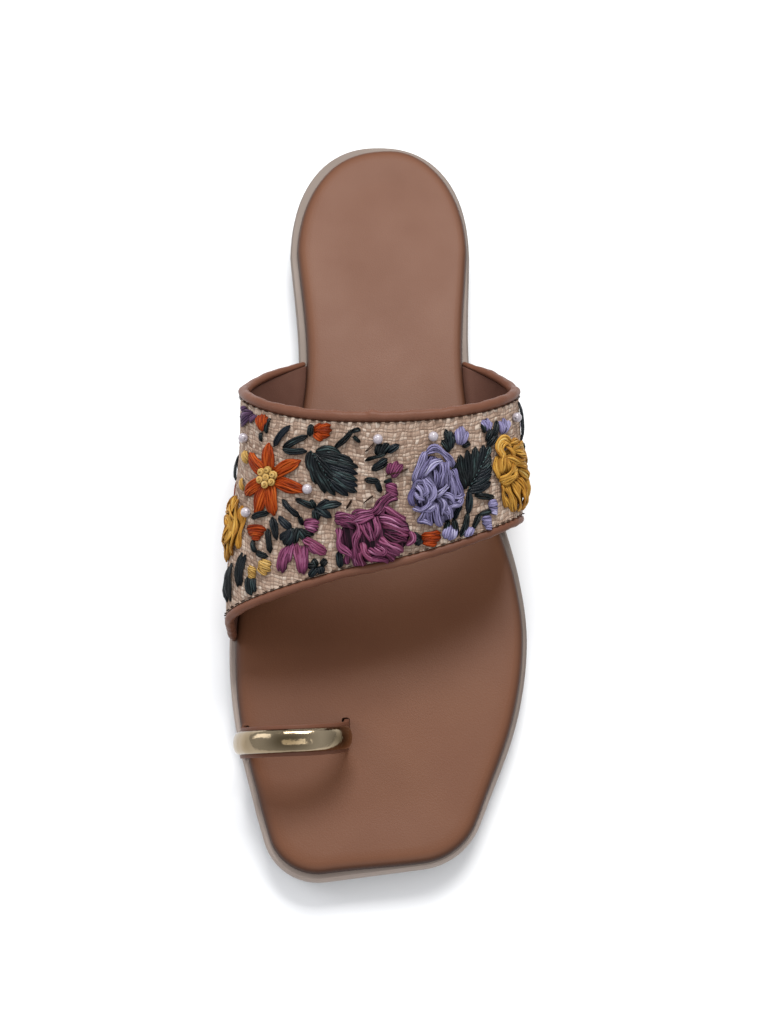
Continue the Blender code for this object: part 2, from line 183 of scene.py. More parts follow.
class Bench:
    """Models one object at a time with Blender's operators."""

    @staticmethod
    def clear() -> None:
        """Leaves edit mode and deselects everything."""
        if bpy.context.mode != "OBJECT":
            bpy.ops.object.mode_set(mode="OBJECT")
        bpy.ops.object.select_all(action="DESELECT")

    @staticmethod
    def hold(piece: Piece) -> None:
        """Makes a piece the only selected one, and the active one."""
        Bench.clear()
        piece.select_set(True)
        bpy.context.view_layer.objects.active = piece

    @staticmethod
    def name(piece: Piece, name: str) -> Piece:
        """Gives a piece and its mesh one name."""
        piece.name = piece.data.name = name
        return piece

    @staticmethod
    def grid(name: str, points: Array) -> Piece:
        """A grid primitive laid on points.

        Args:
            name: The piece's name.
            points: Rows by columns of points, in millimetres.

        Returns:
            The new piece, with its place in its mesh.
        """
        rows, columns = points.shape[:2]
        Bench.clear()
        bpy.ops.mesh.primitive_grid_add(x_subdivisions=columns - 1, y_subdivisions=rows - 1, size=1.0)
        piece = Bench.name(bpy.context.object, name)
        piece.data.vertices.foreach_set("co", (points.reshape(-1) * MM).astype(np.float32))
        piece.data.update()
        return piece

    @staticmethod
    def paint(piece: Piece, name: str, values: Array) -> None:
        """Paints a value on each point of a piece."""
        attribute = piece.data.attributes.new(name, "FLOAT", "POINT")
        attribute.data.foreach_set("value", values.astype(np.float32).ravel())

    @staticmethod
    def chart(piece: Piece, places: Array) -> None:
        """Lays a piece out on its map.

        Args:
            piece: The piece.
            places: The place of each of its points on the map.
        """
        mesh = piece.data
        corners = np.zeros(len(mesh.loops), np.int32)
        mesh.loops.foreach_get("vertex_index", corners)
        if not mesh.uv_layers:
            mesh.uv_layers.new()
        mesh.uv_layers[0].name = MAP
        mesh.uv_layers[0].uv.foreach_set("vector", places[corners].astype(np.float32).ravel())

    @staticmethod
    def face_out(piece: Piece) -> None:
        """Turns the faces of a closed piece outwards.

        Args:
            piece: The piece.
        """
        Bench.hold(piece)
        bpy.ops.object.mode_set(mode="EDIT")
        bpy.ops.mesh.select_all(action="SELECT")
        bpy.ops.mesh.normals_make_consistent(inside=False)
        bpy.ops.object.mode_set(mode="OBJECT")

    @staticmethod
    def weld(piece: Piece) -> None:
        """Merges the seam of a grid that closes on itself, fills its open ends and smooths it.

        Args:
            piece: The piece.
        """
        Bench.hold(piece)
        bpy.ops.object.mode_set(mode="EDIT")
        bpy.ops.mesh.select_all(action="SELECT")
        bpy.ops.mesh.remove_doubles(threshold=WELD)
        bpy.ops.mesh.fill_holes(sides=0)
        Bench.face_out(piece)
        bpy.ops.object.shade_smooth_by_angle(angle=SMOOTH_ANGLE)

    @staticmethod
    def loop(name: str, points: Array, wear: Array | None = None) -> Piece:
        """A welded grid whose columns go round and close on themselves.

        Args:
            name: The piece's name.
            points: Rows by columns of points, in millimetres.
            wear: How far each point takes the finish's painted shade colour, from 0 to 1, if the finish has
                one.

        Returns:
            The new piece.
        """
        piece = Bench.grid(name, np.concatenate((points, points[:, :1]), axis=1))
        # Paints how far each point takes the painted shade colour.
        if wear is not None:
            values = np.broadcast_to(wear, points.shape[:2])
            Bench.paint(piece, "wear", np.concatenate((values, values[:, :1]), axis=1))
        Bench.weld(piece)
        return piece

    @staticmethod
    def cut(piece: Piece, centre: Array, size: Array, bevel: float) -> None:
        """Cuts an opening with rounded corners out of a piece.

        Args:
            piece: The piece to cut.
            centre: The middle of the opening, in millimetres.
            size: The opening's three sizes, in millimetres.
            bevel: The rounding of its corners, in millimetres.
        """
        Bench.clear()
        bpy.ops.mesh.primitive_cube_add(size=1.0, location=centre * MM, scale=size * MM)
        cutter = bpy.context.object
        bpy.ops.object.transform_apply(location=True, rotation=True, scale=True)
        bpy.ops.object.mode_set(mode="EDIT")
        bpy.ops.mesh.bevel(offset=bevel * MM, segments=3)
        bpy.ops.object.mode_set(mode="OBJECT")
        Bench.hold(piece)
        boolean = piece.modifiers.new("opening", "BOOLEAN")
        boolean.operation = "DIFFERENCE"
        boolean.solver = "EXACT"
        boolean.object = cutter
        bpy.ops.object.modifier_apply(modifier=boolean.name)
        bpy.data.objects.remove(cutter)


def fit(piece: Piece, finishes: Sequence[Material], nodes: Sequence[str] = ()) -> None:
    """Dresses a finished piece and sets it on the shoe.

    Args:
        piece: The piece.
        finishes: Its materials, in the order of its faces' material numbers.
        nodes: The solids that the piece stands for.
    """
    for finish in finishes:
        piece.data.materials.append(finish)
    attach(piece, BODY)
    if nodes:
        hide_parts(*nodes)
    log.info("%s: %d faces", piece.name, len(piece.data.polygons))


class Tree:
    """Adds and joins nodes in one node tree."""

    def __init__(self, tree: bpy.types.NodeTree) -> None:
        """Takes the tree to work in."""
        self.tree = tree

    def node(self, kind: str, inputs: dict | None = None, **settings: object) -> Node:
        """A new node.

        Args:
            kind: The node's type.
            inputs: Values or other nodes' outputs for its inputs, by name or number.
            settings: Values for its own properties.

        Returns:
            The node.
        """
        made = self.tree.nodes.new(kind)
        for name, value in settings.items():
            setattr(made, name, value)
        self.feed(made, inputs or {})
        return made

    def feed(self, node: Node, inputs: dict) -> None:
        """Sets inputs of a node.

        Args:
            node: The node.
            inputs: Values or other nodes' outputs, by the inputs' names or numbers.
        """
        for name, value in inputs.items():
            if isinstance(value, Socket):
                self.tree.links.new(value, node.inputs[name])
            else:
                node.inputs[name].default_value = value

    def math(self, operation: str, *values: object) -> Socket:
        """The output of a Math node on the given values."""
        return self.node("ShaderNodeMath", dict(enumerate(values)), operation=operation).outputs[0]

    def ramp(self, factor: Socket, stops: Sequence[tuple[float, Colour]]) -> Socket:
        """A colour that runs through stops.

        Args:
            factor: The place on the ramp, from 0 to 1.
            stops: The place and the colour of each stop.

        Returns:
            The colour.
        """
        made = self.node("ShaderNodeValToRGB", {"Fac": factor})
        elements = made.color_ramp.elements
        for i, (place, colour) in enumerate(stops):
            element = elements[i] if i < len(elements) else elements.new(place)
            element.position = place
            element.color = (*colour, 1.0)
        return made.outputs["Color"]

    def spread(self, value: Socket, low: float, high: float) -> Socket:
        """A value of 0 to 1 spread from low to high."""
        inputs = {"Value": value, "To Min": low, "To Max": high}
        return self.node("ShaderNodeMapRange", inputs).outputs["Result"]

    def noise(self, vector: Socket, scale: float | Socket, detail: float = 3.0) -> Socket:
        """A soft noise of 0 to 1."""
        inputs = {"Vector": vector, "Scale": scale, "Detail": detail}
        return self.node("ShaderNodeTexNoise", inputs).outputs["Fac"]

    def chance(self, dimensions: str, name: str, value: Socket) -> Socket:
        """A random value of 0 to 1 for each value of the input of that name."""
        made = self.node("ShaderNodeTexWhiteNoise", {name: value}, noise_dimensions=dimensions)
        return made.outputs["Value"]

    def stretch(self, vector: Socket, x: float, y: float) -> Socket:
        """Coordinates scaled by x and y."""
        return self.node("ShaderNodeMapping", {"Vector": vector, "Scale": (x, y, 1.0)}).outputs["Vector"]

    def pick(self, share: Socket, first: Socket, second: Socket) -> Socket:
        """The first value where the share is 0, and the second where it is 1."""
        return self.node("ShaderNodeMix", {0: share, 2: first, 3: second}).outputs[0]

    def tint(self, share: Socket, colour: Socket, second: Colour) -> Socket:
        """A colour that turns to a second one, in display values, as the share goes from 0 to 1."""
        inputs = {0: share, 6: colour, 7: (*shown(*second), 1.0)}
        return self.node("ShaderNodeMix", inputs, data_type="RGBA").outputs[2]

    def place(self) -> Socket:
        """The place on the piece, in metres."""
        return self.node("ShaderNodeTexCoord").outputs["Object"]

    def chart(self) -> Socket:
        """The place on the piece's map."""
        return self.node("ShaderNodeUVMap", uv_map=MAP).outputs["UV"]

    def painted(self, name: str) -> Socket:
        """The value painted on the piece under a name."""
        return self.node("ShaderNodeAttribute", attribute_name=name).outputs["Fac"]

    def effect(self, group: bpy.types.NodeTree, vector: Socket, **values: float) -> Sequence[Socket]:
        """The outputs of an effect's group."""
        return self.node("ShaderNodeGroup", {"Vector": vector, **values}, node_tree=group).outputs


class Effects:
    """The effects that several finishes share, each a node group."""

    broad_fibre: Point = (4.0, 0.22)
    fine_fibre: Point = (13.0, 0.35)
    broad_part: float = 0.6
    fine_part: float = 0.4
    streak_range: Point = (-0.8, 1.8)
    cloud_scale: float = 38.0
    grain_detail: float = 4.0
    mottle_range: Point = (-0.4, 1.4)
    yarn_starts: Point = (0.3, 57.3)
    hair_ways: tuple[Point, Point] = ((3.6, 0.45), (0.45, 3.6))
    yarn_part: float = 0.2
    patch_part: float = 0.28
    hair_part: float = 0.52
    yarn_range: Point = (-0.5, 1.5)
    # Height under which the yarns take painted gap shade.
    gap_height: float = 0.45
    hair_height: float = 0.3

    def __init__(self) -> None:
        """Builds the groups."""
        self.fibre = self.group("fibre streaks", self.draw_fibre, ("Streak", "Height"))
        self.grain = self.group("leather grain", self.draw_grain, ("Mottle", "Height"), ("Size",))
        self.weave = self.group("plain weave", self.draw_weave, ("Yarn", "Gap", "Height"), ("Pitch",))

    @staticmethod
    def group(
        name: str, draw: Callable, outputs: Sequence[str], values: Sequence[str] = ()
    ) -> bpy.types.NodeTree:
        """A node group with a vector input.

        Args:
            name: The group's name.
            draw: Draws the effect from the tree, the vector and the value inputs, and gives back the outputs.
            outputs: The names of the outputs.
            values: The names of the value inputs.

        Returns:
            The group.
        """
        made = bpy.data.node_groups.new(name, "ShaderNodeTree")
        made.interface.new_socket("Vector", in_out="INPUT", socket_type="NodeSocketVector")
        for value in values:
            made.interface.new_socket(value, in_out="INPUT", socket_type="NodeSocketFloat")
        for output in outputs:
            made.interface.new_socket(output, in_out="OUTPUT", socket_type="NodeSocketFloat")
        tree = Tree(made)
        given = tree.node("NodeGroupInput").outputs
        found = draw(tree, given["Vector"], *(given[value] for value in values))
        tree.node("NodeGroupOutput", dict(zip(outputs, found)))
        return made

    def draw_fibre(self, tree: Tree, vector: Socket) -> tuple[Socket, ...]:
        """Long fibres along a strip, in broad and fine streaks.

        Args:
            tree: The tree to draw in.
            vector: The strip's map, round it and along it.

        Returns:
            The streaks, twice: as a tone and as a height.
        """
        broad = tree.noise(tree.stretch(vector, *self.broad_fibre), 1.0, 2.0)
        fine = tree.noise(tree.stretch(vector, *self.fine_fibre), 1.0)
        both = tree.math("MULTIPLY_ADD", broad, self.broad_part, tree.math("MULTIPLY", fine, self.fine_part))
        streak = tree.spread(both, *self.streak_range)
        return streak, streak

    def draw_grain(self, tree: Tree, vector: Socket, size: Socket) -> tuple[Socket, ...]:
        """Fine pebbles with creases between them, and a broad cloudy tone.

        Args:
            tree: The tree to draw in.
            vector: The place on the piece.
            size: The size of a pebble, in metres.

        Returns:
            The tone and the height.
        """
        scale = tree.math("DIVIDE", 1.0, size)
        cells = tree.node("ShaderNodeTexVoronoi", {"Vector": vector, "Scale": scale}, feature="SMOOTH_F1")
        clouds = tree.noise(vector, self.cloud_scale, self.grain_detail)
        pores = tree.noise(vector, scale, self.grain_detail)
        height = tree.math("ADD", cells.outputs["Distance"], pores)
        return tree.spread(clouds, *self.mottle_range), height

    def draw_weave(self, tree: Tree, vector: Socket, pitch: Socket) -> tuple[Socket, ...]:
        """A plain weave of flat yarns, each with its own tone and fine hairs.

        Args:
            tree: The tree to draw in.
            vector: The cloth's map, in millimetres.
            pitch: The distance between yarns.

        Returns:
            The yarns' tone, painted shade in the gaps between them, and the height.
        """
        parts = tree.node("ShaderNodeSeparateXYZ", {"Vector": vector}).outputs
        places = [tree.math("DIVIDE", part, pitch) for part in (parts["X"], parts["Y"])]
        cells = [tree.math("FLOOR", place) for place in places]
        offsets = [tree.math("SUBTRACT", tree.math("FRACT", place), 0.5) for place in places]
        over = tree.math("FLOORED_MODULO", tree.math("ADD", *cells), 2.0)
        squares = [tree.math("MULTIPLY", offset, offset) for offset in offsets]
        rounds = [tree.math("SQRT", tree.math("MULTIPLY_ADD", part, -YARN_ROUND, 1.0)) for part in squares]
        waves = [tree.math("COSINE", tree.math("MULTIPLY", offset, math.pi)) for offset in offsets]
        height = tree.pick(over, *(tree.math("MULTIPLY", *pair) for pair in zip(rounds, waves[::-1])))
        numbers = [tree.math("ADD", cell, start) for cell, start in zip(cells, self.yarn_starts)]
        yarn = tree.pick(over, *(tree.chance("1D", "W", number) for number in numbers))
        spot = tree.node("ShaderNodeCombineXYZ", dict(zip("XY", cells))).outputs["Vector"]
        patch = tree.chance("2D", "Vector", spot)
        hair = tree.pick(over, *(tree.noise(tree.stretch(vector, *way), 1.0) for way in self.hair_ways))
        own = tree.math("MULTIPLY_ADD", yarn, self.yarn_part, tree.math("MULTIPLY", patch, self.patch_part))
        tone = tree.math("MULTIPLY_ADD", hair, self.hair_part, own)
        # Painted shade: the yarns darken where they dip into the gaps between them.
        depths = {"Value": height, "From Min": self.gap_height, "From Max": 0.0}
        gap = tree.node("ShaderNodeMapRange", depths).outputs["Result"]
        lumpy = tree.math("MULTIPLY_ADD", hair, self.hair_height, height)
        return tree.spread(tone, *self.yarn_range), gap, lumpy


@dataclass(frozen=True)
class Finish:
    """What all finishes share: three tones in display values, and the roughness of dark and light."""

    name: str
    dark: Colour
    base: Colour
    light: Colour
    roughness: Point
    bump: float
    specular: float = field(default=0.22, kw_only=True)

    def make(self, effects: Effects) -> Material:
        """Makes the material.

        Args:
            effects: The shared effects.

        Returns:
            The material.
        """
        made = bpy.data.materials.new(self.name)
        made.use_nodes = True
        tree = Tree(made.node_tree)
        colour, tone, height = self.draw(tree, effects)
        relief = {"Height": height, "Strength": self.bump, "Distance": BUMP_DEPTH}
        drawn = {
            "Base Color": colour,
            "Roughness": tree.spread(tone, *self.roughness),
            "Normal": tree.node("ShaderNodeBump", relief).outputs["Normal"],
        }
        tree.feed(made.node_tree.nodes["Principled BSDF"], {**drawn, **self.gloss()})
        return made

    def draw(self, tree: Tree, effects: Effects) -> tuple[Socket, Socket, Socket]:
        """The colour, the tone that the roughness follows and the height, each over the surface."""
        raise NotImplementedError

    def gloss(self) -> dict[str, float]:
        """The shader's values that are the same all over."""
        return {"Specular IOR Level": self.specular}

    def tones(self) -> tuple[tuple[float, Colour], ...]:
        """The three tones as stops of a ramp."""
        return (0.0, shown(*self.dark)), (0.5, shown(*self.base)), (1.0, shown(*self.light))


@dataclass(frozen=True)
class Leather(Finish):
    """Leather, foil or moulded sole: a pebbled grain, a cloudy tone, and a painted shade colour where a piece
    has one.
    """

    grain: float = 0.5
    metallic: float = 0.0
    coat: float = 0.0
    coat_roughness: float = 0.3
    # The painted shade colour: a darker crevice edge on the insole, a shaded heel end on the foil, dark
    # reflections on the plate.
    wear: Colour | None = None

    def draw(self, tree: Tree, effects: Effects) -> tuple[Socket, Socket, Socket]:
        """Draws the finish.

        Args:
            tree: The material's tree.
            effects: The shared effects.

        Returns:
            The colour, the tone and the height.
        """
        grain = tree.effect(effects.grain, tree.place(), Size=self.grain * MM)
        colour = tree.ramp(grain["Mottle"], self.tones())
        # Mixes in the painted shade colour as far as the piece's painted attribute says.
        if self.wear:
            colour = tree.tint(tree.painted("wear"), colour, self.wear)
        return colour, grain["Mottle"], grain["Height"]

    def gloss(self) -> dict[str, float]:
        """The shader's values that are the same all over."""
        coat = {"Coat Weight": self.coat, "Coat Roughness": self.coat_roughness}
        return {**super().gloss(), "Metallic": self.metallic, **coat}


@dataclass(frozen=True)
class Woven(Finish):
    """Plain-woven cloth on a map in millimetres, with painted shade in the gaps between its yarns."""

    specular: float = field(default=0.14, kw_only=True)
    gap: Colour = (0.0, 0.0, 0.0)
    pitch: float = WEAVE_PITCH

    def draw(self, tree: Tree, effects: Effects) -> tuple[Socket, Socket, Socket]:
        """Draws the finish.

        Args:
            tree: The material's tree.
            effects: The shared effects.

        Returns:
            The colour, the tone and the height.
        """
        weave = tree.effect(effects.weave, tree.chart(), Pitch=self.pitch)
        colour = tree.tint(weave["Gap"], tree.ramp(weave["Yarn"], self.tones()), self.gap)
        return colour, weave["Yarn"], weave["Height"]


@dataclass(frozen=True)
class Strand(Finish):
    """Dyed strips: streaks, a tone partly their own, partly painted shade and highlights; some lean to a
    second colour.
    """

    roughness: Point = (0.6, 0.45)
    bump: float = 0.6
    specular: float = field(default=0.1, kw_only=True)
    second: Colour = (0.0, 0.0, 0.0)
    streaks: float = 0.8

    def draw(self, tree: Tree, effects: Effects) -> tuple[Socket, Socket, Socket]:
        """Draws the finish.

        Args:
            tree: The material's tree.
            effects: The shared effects.

        Returns:
            The colour, the tone and the height.
        """
        fibre = tree.effect(effects.fibre, tree.chart())
        streak = tree.math("SUBTRACT", fibre["Streak"], 0.5)
        tone = tree.math("MULTIPLY_ADD", streak, self.streaks, tree.painted("shade"))
        colour = tree.tint(tree.painted("cast"), tree.ramp(tone, self.tones()), self.second)
        return colour, fibre["Streak"], fibre["Height"]


FINISHES = (
    Leather("outsole_rubber", (34, 25, 21), (54, 40, 33), (70, 54, 45), (0.7, 0.55), 0.35, 0.7),
    # The foil's painted shade colour darkens its heel end.
    Leather(
        "gold_foil", (176, 158, 147), (194, 176, 164), (212, 196, 185), (0.6, 0.5), 0.05, 0.4,
        metallic=0.2, specular=0.3, wear=(132, 117, 106),
    ),
    # The insole's painted shade colour darkens its edge towards the crevice at the rim.
    Leather(
        "insole_leather", (123, 77, 52), (128, 81, 55), (133, 86, 59), (0.5, 0.42), 0.08, 0.4,
        specular=0.18, wear=(66, 42, 32),
    ),
    Leather(
        "binding_leather", (114, 72, 54), (126, 81, 61), (138, 92, 72), (0.5, 0.42), 0.14, 0.4, specular=0.14
    ),
    Leather(
        "lining_leather", (102, 68, 56), (116, 79, 66), (130, 93, 79), (0.7, 0.6), 0.15, 0.45, specular=0.08
    ),
    # The plate's painted shade colour is the colour of its painted dark reflections.
    Leather(
        "polished_gold", (176, 154, 122), (220, 199, 166), (242, 225, 200), (0.16, 0.1), 0.7, 4.0,
        metallic=1.0, wear=(80, 64, 36),
    ),
    Leather(
        "pearl_lustre", (184, 172, 178), (206, 194, 200), (226, 216, 221), (0.25, 0.15), 0.02, 0.6,
        specular=0.7, coat=0.6,
    ),
    # The cloth's gap colour is painted shade between its yarns.
    Woven(
        "woven_raffia", (146, 118, 100), (194, 165, 144), (234, 214, 195), (0.85, 0.7), 0.6,
        gap=(152, 124, 106),
    ),
    Strand("lavender_strand", (36, 30, 60), (177, 169, 212), (232, 228, 248), second=(122, 112, 162)),
    Strand("mauve_strand", (34, 10, 24), (150, 76, 114), (226, 164, 198), second=(152, 70, 96)),
    Strand("yellow_strand", (136, 80, 16), (236, 178, 78), (252, 220, 138), second=(222, 150, 52)),
    Strand("orange_strand", (82, 20, 0), (178, 66, 9), (226, 116, 42), (0.55, 0.42), second=(136, 42, 6)),
    # The leaf's light tone colours its painted highlights along the glossy strands.
    Strand(
        "leaf_strand", (3, 6, 7), (15, 23, 25), (88, 114, 112), (0.42, 0.3),
        specular=0.17, second=(20, 30, 44),
    ),
    Strand("plum_strand", (46, 28, 46), (100, 70, 100), (140, 106, 142), second=(74, 52, 84)),
    Strand(
        "knot_strand", (136, 92, 34), (228, 184, 104), (250, 220, 160), (0.65, 0.5), second=(212, 162, 82)
    ),
    Strand(
        "thread_strand", (50, 33, 26), (82, 57, 45), (112, 84, 68), (0.7, 0.55), 0.4, second=(60, 42, 33)
    ),
)


class Palette:
    """Every finish of the shoe, made once."""

    def __init__(self) -> None:
        """Makes the materials."""
        effects = Effects()
        self.materials = {finish.name: finish.make(effects) for finish in FINISHES}

    def __getitem__(self, name: str) -> Material:
        """The material of that name."""
        return self.materials[name]


@dataclass(frozen=True)
class SoleForm:
    """Outline and side profile of the sole."""

    length: float = 245.0
    heel_depth: float = 44.0
    heel_fullness: float = 2.3
    toe_front: float = 243.2
    toe_slant: float = -0.132
    toe_taper: dict[Side, float] = field(default_factory=lambda: {Side.INNER: 0.32, Side.OUTER: 0.42})
    corner_radius: dict[Side, float] = field(default_factory=lambda: {Side.INNER: 16.0, Side.OUTER: 20.0})
    heel_height: float = 12.0
    forefoot_height: float = 8.0
    toe_spring: float = 2.0
    heel_seat_end: float = 60.0
    forefoot_start: float = 160.0
    spring_start: float = 195.0
    heel_breast: float = 53.0
    breast_run: float = 9.0
    midsole_thickness: float = 4.0
    insole_thickness: float = 3.2
    heel_points: int = 22
    side_points: int = 110
    corner_points: int = 12
    front_points: int = 22
    fan_back: float = 26.0
    fan_front: float = 216.0
    heel_rim: float = 1.9
    rim_blend: float = 24.0
    sink_pace: float = 1.6
    widths: Table = Table(
        ("station", "INNER", "OUTER", "INNER rim", "OUTER rim"),
        (
            (44.0, 28.8, 29.8, 2.4, 0.9),
            (82.0, 25.2, 28.8, 2.7, 2.2),
            (105.0, 27.2, 31.2, 2.7, 2.7),
            (130.0, 35.6, 36.6, 2.7, 2.7),
            (155.0, 42.0, 42.4, 2.5, 1.7),
            (176.0, 43.6, 44.0, 2.1, 1.4),
            (200.0, 41.0, 40.0, 1.7, 1.3),
            (226.0, 34.0, 30.1, 1.7, 1.1),
        ),
    )

    def to_y(self, station: Array) -> Array:
        """The y of a station."""
        return self.length / 2.0 - station

    def footbed(self, station: Array) -> Array:
        """Height of the midsole's top: a level heel seat, a slope through the waist, and the toe spring."""
        drop = ease((station - self.heel_seat_end) / (self.forefoot_start - self.heel_seat_end))
        spring = np.maximum(0.0, (station - self.spring_start) / (self.length - self.spring_start))
        return mix(self.heel_height, self.forefoot_height, drop) + self.toe_spring * spring**2

    def outsole_bottom(self, station: Array) -> Array:
        """A flat heel, an arched waist, a flat forefoot and a raised toe."""
        lift = self.footbed(station) - self.forefoot_height
        return lift * ease((station - self.heel_breast) / self.breast_run)

    def half_width(self, station: Array, side: Side) -> Array:
        """Distance of the midsole's edge from the centre line."""
        back = np.clip((self.heel_depth - station) / self.heel_depth, 0.0, 1.0)
        heel = (1.0 - back**self.heel_fullness) ** (1.0 / self.heel_fullness)
        return self.widths.read(side.name, np.maximum(station, self.heel_depth)) * heel

    def toe_corner(self, side: Side) -> Array:
        """The rounded corner from the side of the sole to its front edge.

        Args:
            side: The side of the shoe.

        Returns:
            Its points of x and station.
        """
        sign, taper, radius = side.value, self.toe_taper[side], self.corner_radius[side]
        station = self.widths.rows[-1][0]
        half = float(self.half_width(np.array(station), side))
        reach = (half - taper * (self.toe_front - station)) / (1.0 + taper * sign * self.toe_slant)
        corner = np.array((sign * reach, self.toe_front + self.toe_slant * sign * reach))
        along_side = unit(np.array((sign * half, station)) - corner)
        along_front = unit(np.array((-sign, -sign * self.toe_slant)))
        half_angle = math.acos(float(along_side @ along_front)) / 2.0
        centre = corner + unit(along_side + along_front) * (radius / math.sin(half_angle))
        start = unit(corner + along_side * (radius / math.tan(half_angle)) - centre)
        finish = unit(corner + along_front * (radius / math.tan(half_angle)) - centre)
        whole = math.acos(float(start @ finish))
        angles = np.linspace(0.0, whole, self.corner_points + 1)[:, None]
        swung = (start * np.sin(whole - angles) + finish * np.sin(angles)) / math.sin(whole)
        return centre + swung * radius

    def side_line(self, side: Side) -> Array:
        """One side of the sole from the back of the heel to the front of the toe.

        Args:
            side: The side of the shoe.

        Returns:
            Its points of x and station.
        """
        turn = (np.arange(self.heel_points) + 0.5) / self.heel_points * math.pi / 2.0
        heel = self.heel_depth * (1.0 - np.cos(turn))
        straight = np.linspace(self.heel_depth, self.widths.rows[-1][0], self.side_points + 1)
        stations = np.concatenate((heel, straight))
        line = np.stack((side.value * self.half_width(stations, side), stations), axis=-1)
        return np.concatenate((line, self.toe_corner(side)))

    def outline(self) -> Array:
        """The midsole's edge as a ring."""
        inner, outer = (self.side_line(side) for side in Side)
        shares = np.linspace(0.0, 1.0, self.front_points + 2)[1:-1, None]
        return np.concatenate((inner, mix(inner[-1], outer[-1], shares), outer[::-1]))

    def middle_line(self, ring: Array) -> Array:
        """The point on the sole's middle line that each point of the outline looks to."""
        station = np.clip(ring[:, 1], self.fan_back, self.fan_front)
        x = (self.half_width(station, Side.OUTER) - self.half_width(station, Side.INNER)) / 2.0
        return np.stack((x, station), axis=-1)

    def outer_share(self, ring: Array) -> Array:
        """How far each point of the outline counts as outer side, from 0 to 1."""
        return ease(0.5 + ring[:, 0] / self.rim_blend)

    def rims(self, ring: Array) -> Array:
        """The width of the rim that the midsole shows round the insole."""
        station = np.maximum(ring[:, 1], self.heel_depth)
        inner, outer = (self.widths.read(f"{side.name} rim", station) for side in Side)
        behind = self.heel_rim * ease(1.0 - ring[:, 1] / self.heel_depth)
        return mix(inner, outer, self.outer_share(ring)) + behind

    def layer(
        self, insets: Array, edge: Array, low: Callable, high: Callable, rows: int, crown: float = 0.0
    ) -> Array:
        """Rings of a sole layer, from the middle of its bottom round its edge to the middle of its top.

        Args:
            insets: How far in the layer lies, at each point of the outline.
            edge: Rows of inset and share of the height, from the bottom up.
            low: Height of the bottom at a station.
            high: Height of the top at a station.
            rows: Rings across the bottom, and across the top.
            crown: How far the top sinks in its middle.

        Returns:
            Rows of rings of points.
        """
        ring = self.outline()
        along = unit(np.roll(ring, -1, axis=0) - np.roll(ring, 1, axis=0))
        inwards = np.stack((along[:, 1], -along[:, 0]), axis=-1)
        middle = self.middle_line(ring)
        sides = ring + inwards * (insets + edge[:, :1])[..., None]
        shares = np.linspace(0.0, 1.0, rows + 1)[1:]
        below, above = (mix(side, middle, shares[:, None, None]) for side in (sides[0], sides[-1]))
        flat = np.concatenate((below[::-1], sides, above))
        rise = np.concatenate((np.zeros(rows), edge[:, 1], np.ones(rows)))[:, None]
        sink = np.concatenate((np.zeros(rows + len(edge)), ease(shares * self.sink_pace)))[:, None]
        station = flat[..., 1]
        z = mix(low(station), high(station), rise) - crown * sink
        return np.stack((flat[..., 0], self.to_y(station), z), axis=-1)


@dataclass(frozen=True)
class Sole:
    """The three layers under the foot."""

    form: SoleForm
    edge_points: int = 15
    cap_rows: int = 12
    outsole_inset: float = 0.8
    dish: float = 0.35
    # How far in from the insole's edge the painted crevice shade reaches.
    crevice_shade_reach: float = 3.0
    # Painted shade on the foil: how dark it gets, and the stations on each side where it fades out.
    foil_shade_strength: float = 0.85
    foil_shade_span: dict[Side, Point] = field(
        default_factory=lambda: {Side.INNER: (90.0, 215.0), Side.OUTER: (190.0, 232.0)}
    )
    outsole_edge: tuple[Point, ...] = ((1.5, 0.0), (0.5, 0.1), (0.05, 0.3), (0.0, 0.65), (0.0, 1.0))
    midsole_edge: tuple[Point, ...] = ((0.7, 0.0), (0.15, 0.2), (0.0, 0.5), (0.15, 0.8), (0.7, 1.0))
    insole_edge: tuple[Point, ...] = ((0.3, 0.0), (0.0, 0.3), (0.35, 0.64), (1.2, 0.88), (3.0, 1.0))

    def build(self, palette: Palette, loop: "ToeLoop") -> None:
        """Builds and dresses the layers.

        Args:
            palette: The finishes.
            loop: The toe loop whose feet go through the insole.
        """
        form = self.form
        ring = form.outline()
        under = form.midsole_thickness + GAP
        outsole = self.add_layer(
            "outsole_rubber", np.full(len(ring), self.outsole_inset), self.outsole_edge, form.outsole_bottom,
            lambda s: form.footbed(s) - under,
        )
        fit(outsole, [palette["outsole_rubber"]], ["outsole"])
        midsole = self.add_layer(
            "midsole_wrap", np.zeros(len(ring)), self.midsole_edge,
            lambda s: form.footbed(s) - form.midsole_thickness, form.footbed, wear=self.foil_shade(ring),
        )
        fit(midsole, [palette["gold_foil"]], ["midsole"])
        insets = smooth_line(self.insole_edge, self.edge_points)[:, 0]
        # Painted shade: the insole darkens towards its lower edge, where it meets the rim in a crevice.
        crevice_shade = np.clip(1.0 - insets / self.crevice_shade_reach, 0.0, 1.0) ** 2
        insole = self.add_layer(
            "insole_pad", form.rims(ring), self.insole_edge, lambda s: form.footbed(s) + GAP,
            lambda s: form.footbed(s) + GAP + form.insole_thickness, self.dish,
            np.pad(crevice_shade, self.cap_rows)[:, None],
        )
        for share in (0.0, 1.0):
            Bench.cut(insole, loop.path(np.array(share))[0], loop.slot_size(), loop.slot_rounding)
        fit(insole, [palette["insole_leather"]], ["insole"])

    def foil_shade(self, ring: Array) -> Array:
        """Painted shade on the foil: full light at the toe, darker towards the heel."""
        fades = self.foil_shade_span.values()
        inner, outer = (1.0 - ease((ring[:, 1] - low) / (high - low)) for low, high in fades)
        return self.foil_shade_strength * mix(inner, outer, self.form.outer_share(ring))

    def add_layer(
        self, name: str, insets: Array, edge: Sequence[Point], low: Callable, high: Callable,
        crown: float = 0.0, wear: Array | None = None,
    ) -> Piece:
        """One layer of the sole as a welded piece, with its painted shade if it has any."""
        rows = smooth_line(edge, self.edge_points)
        return Bench.loop(name, self.form.layer(insets, rows, low, high, self.cap_rows, crown), wear)


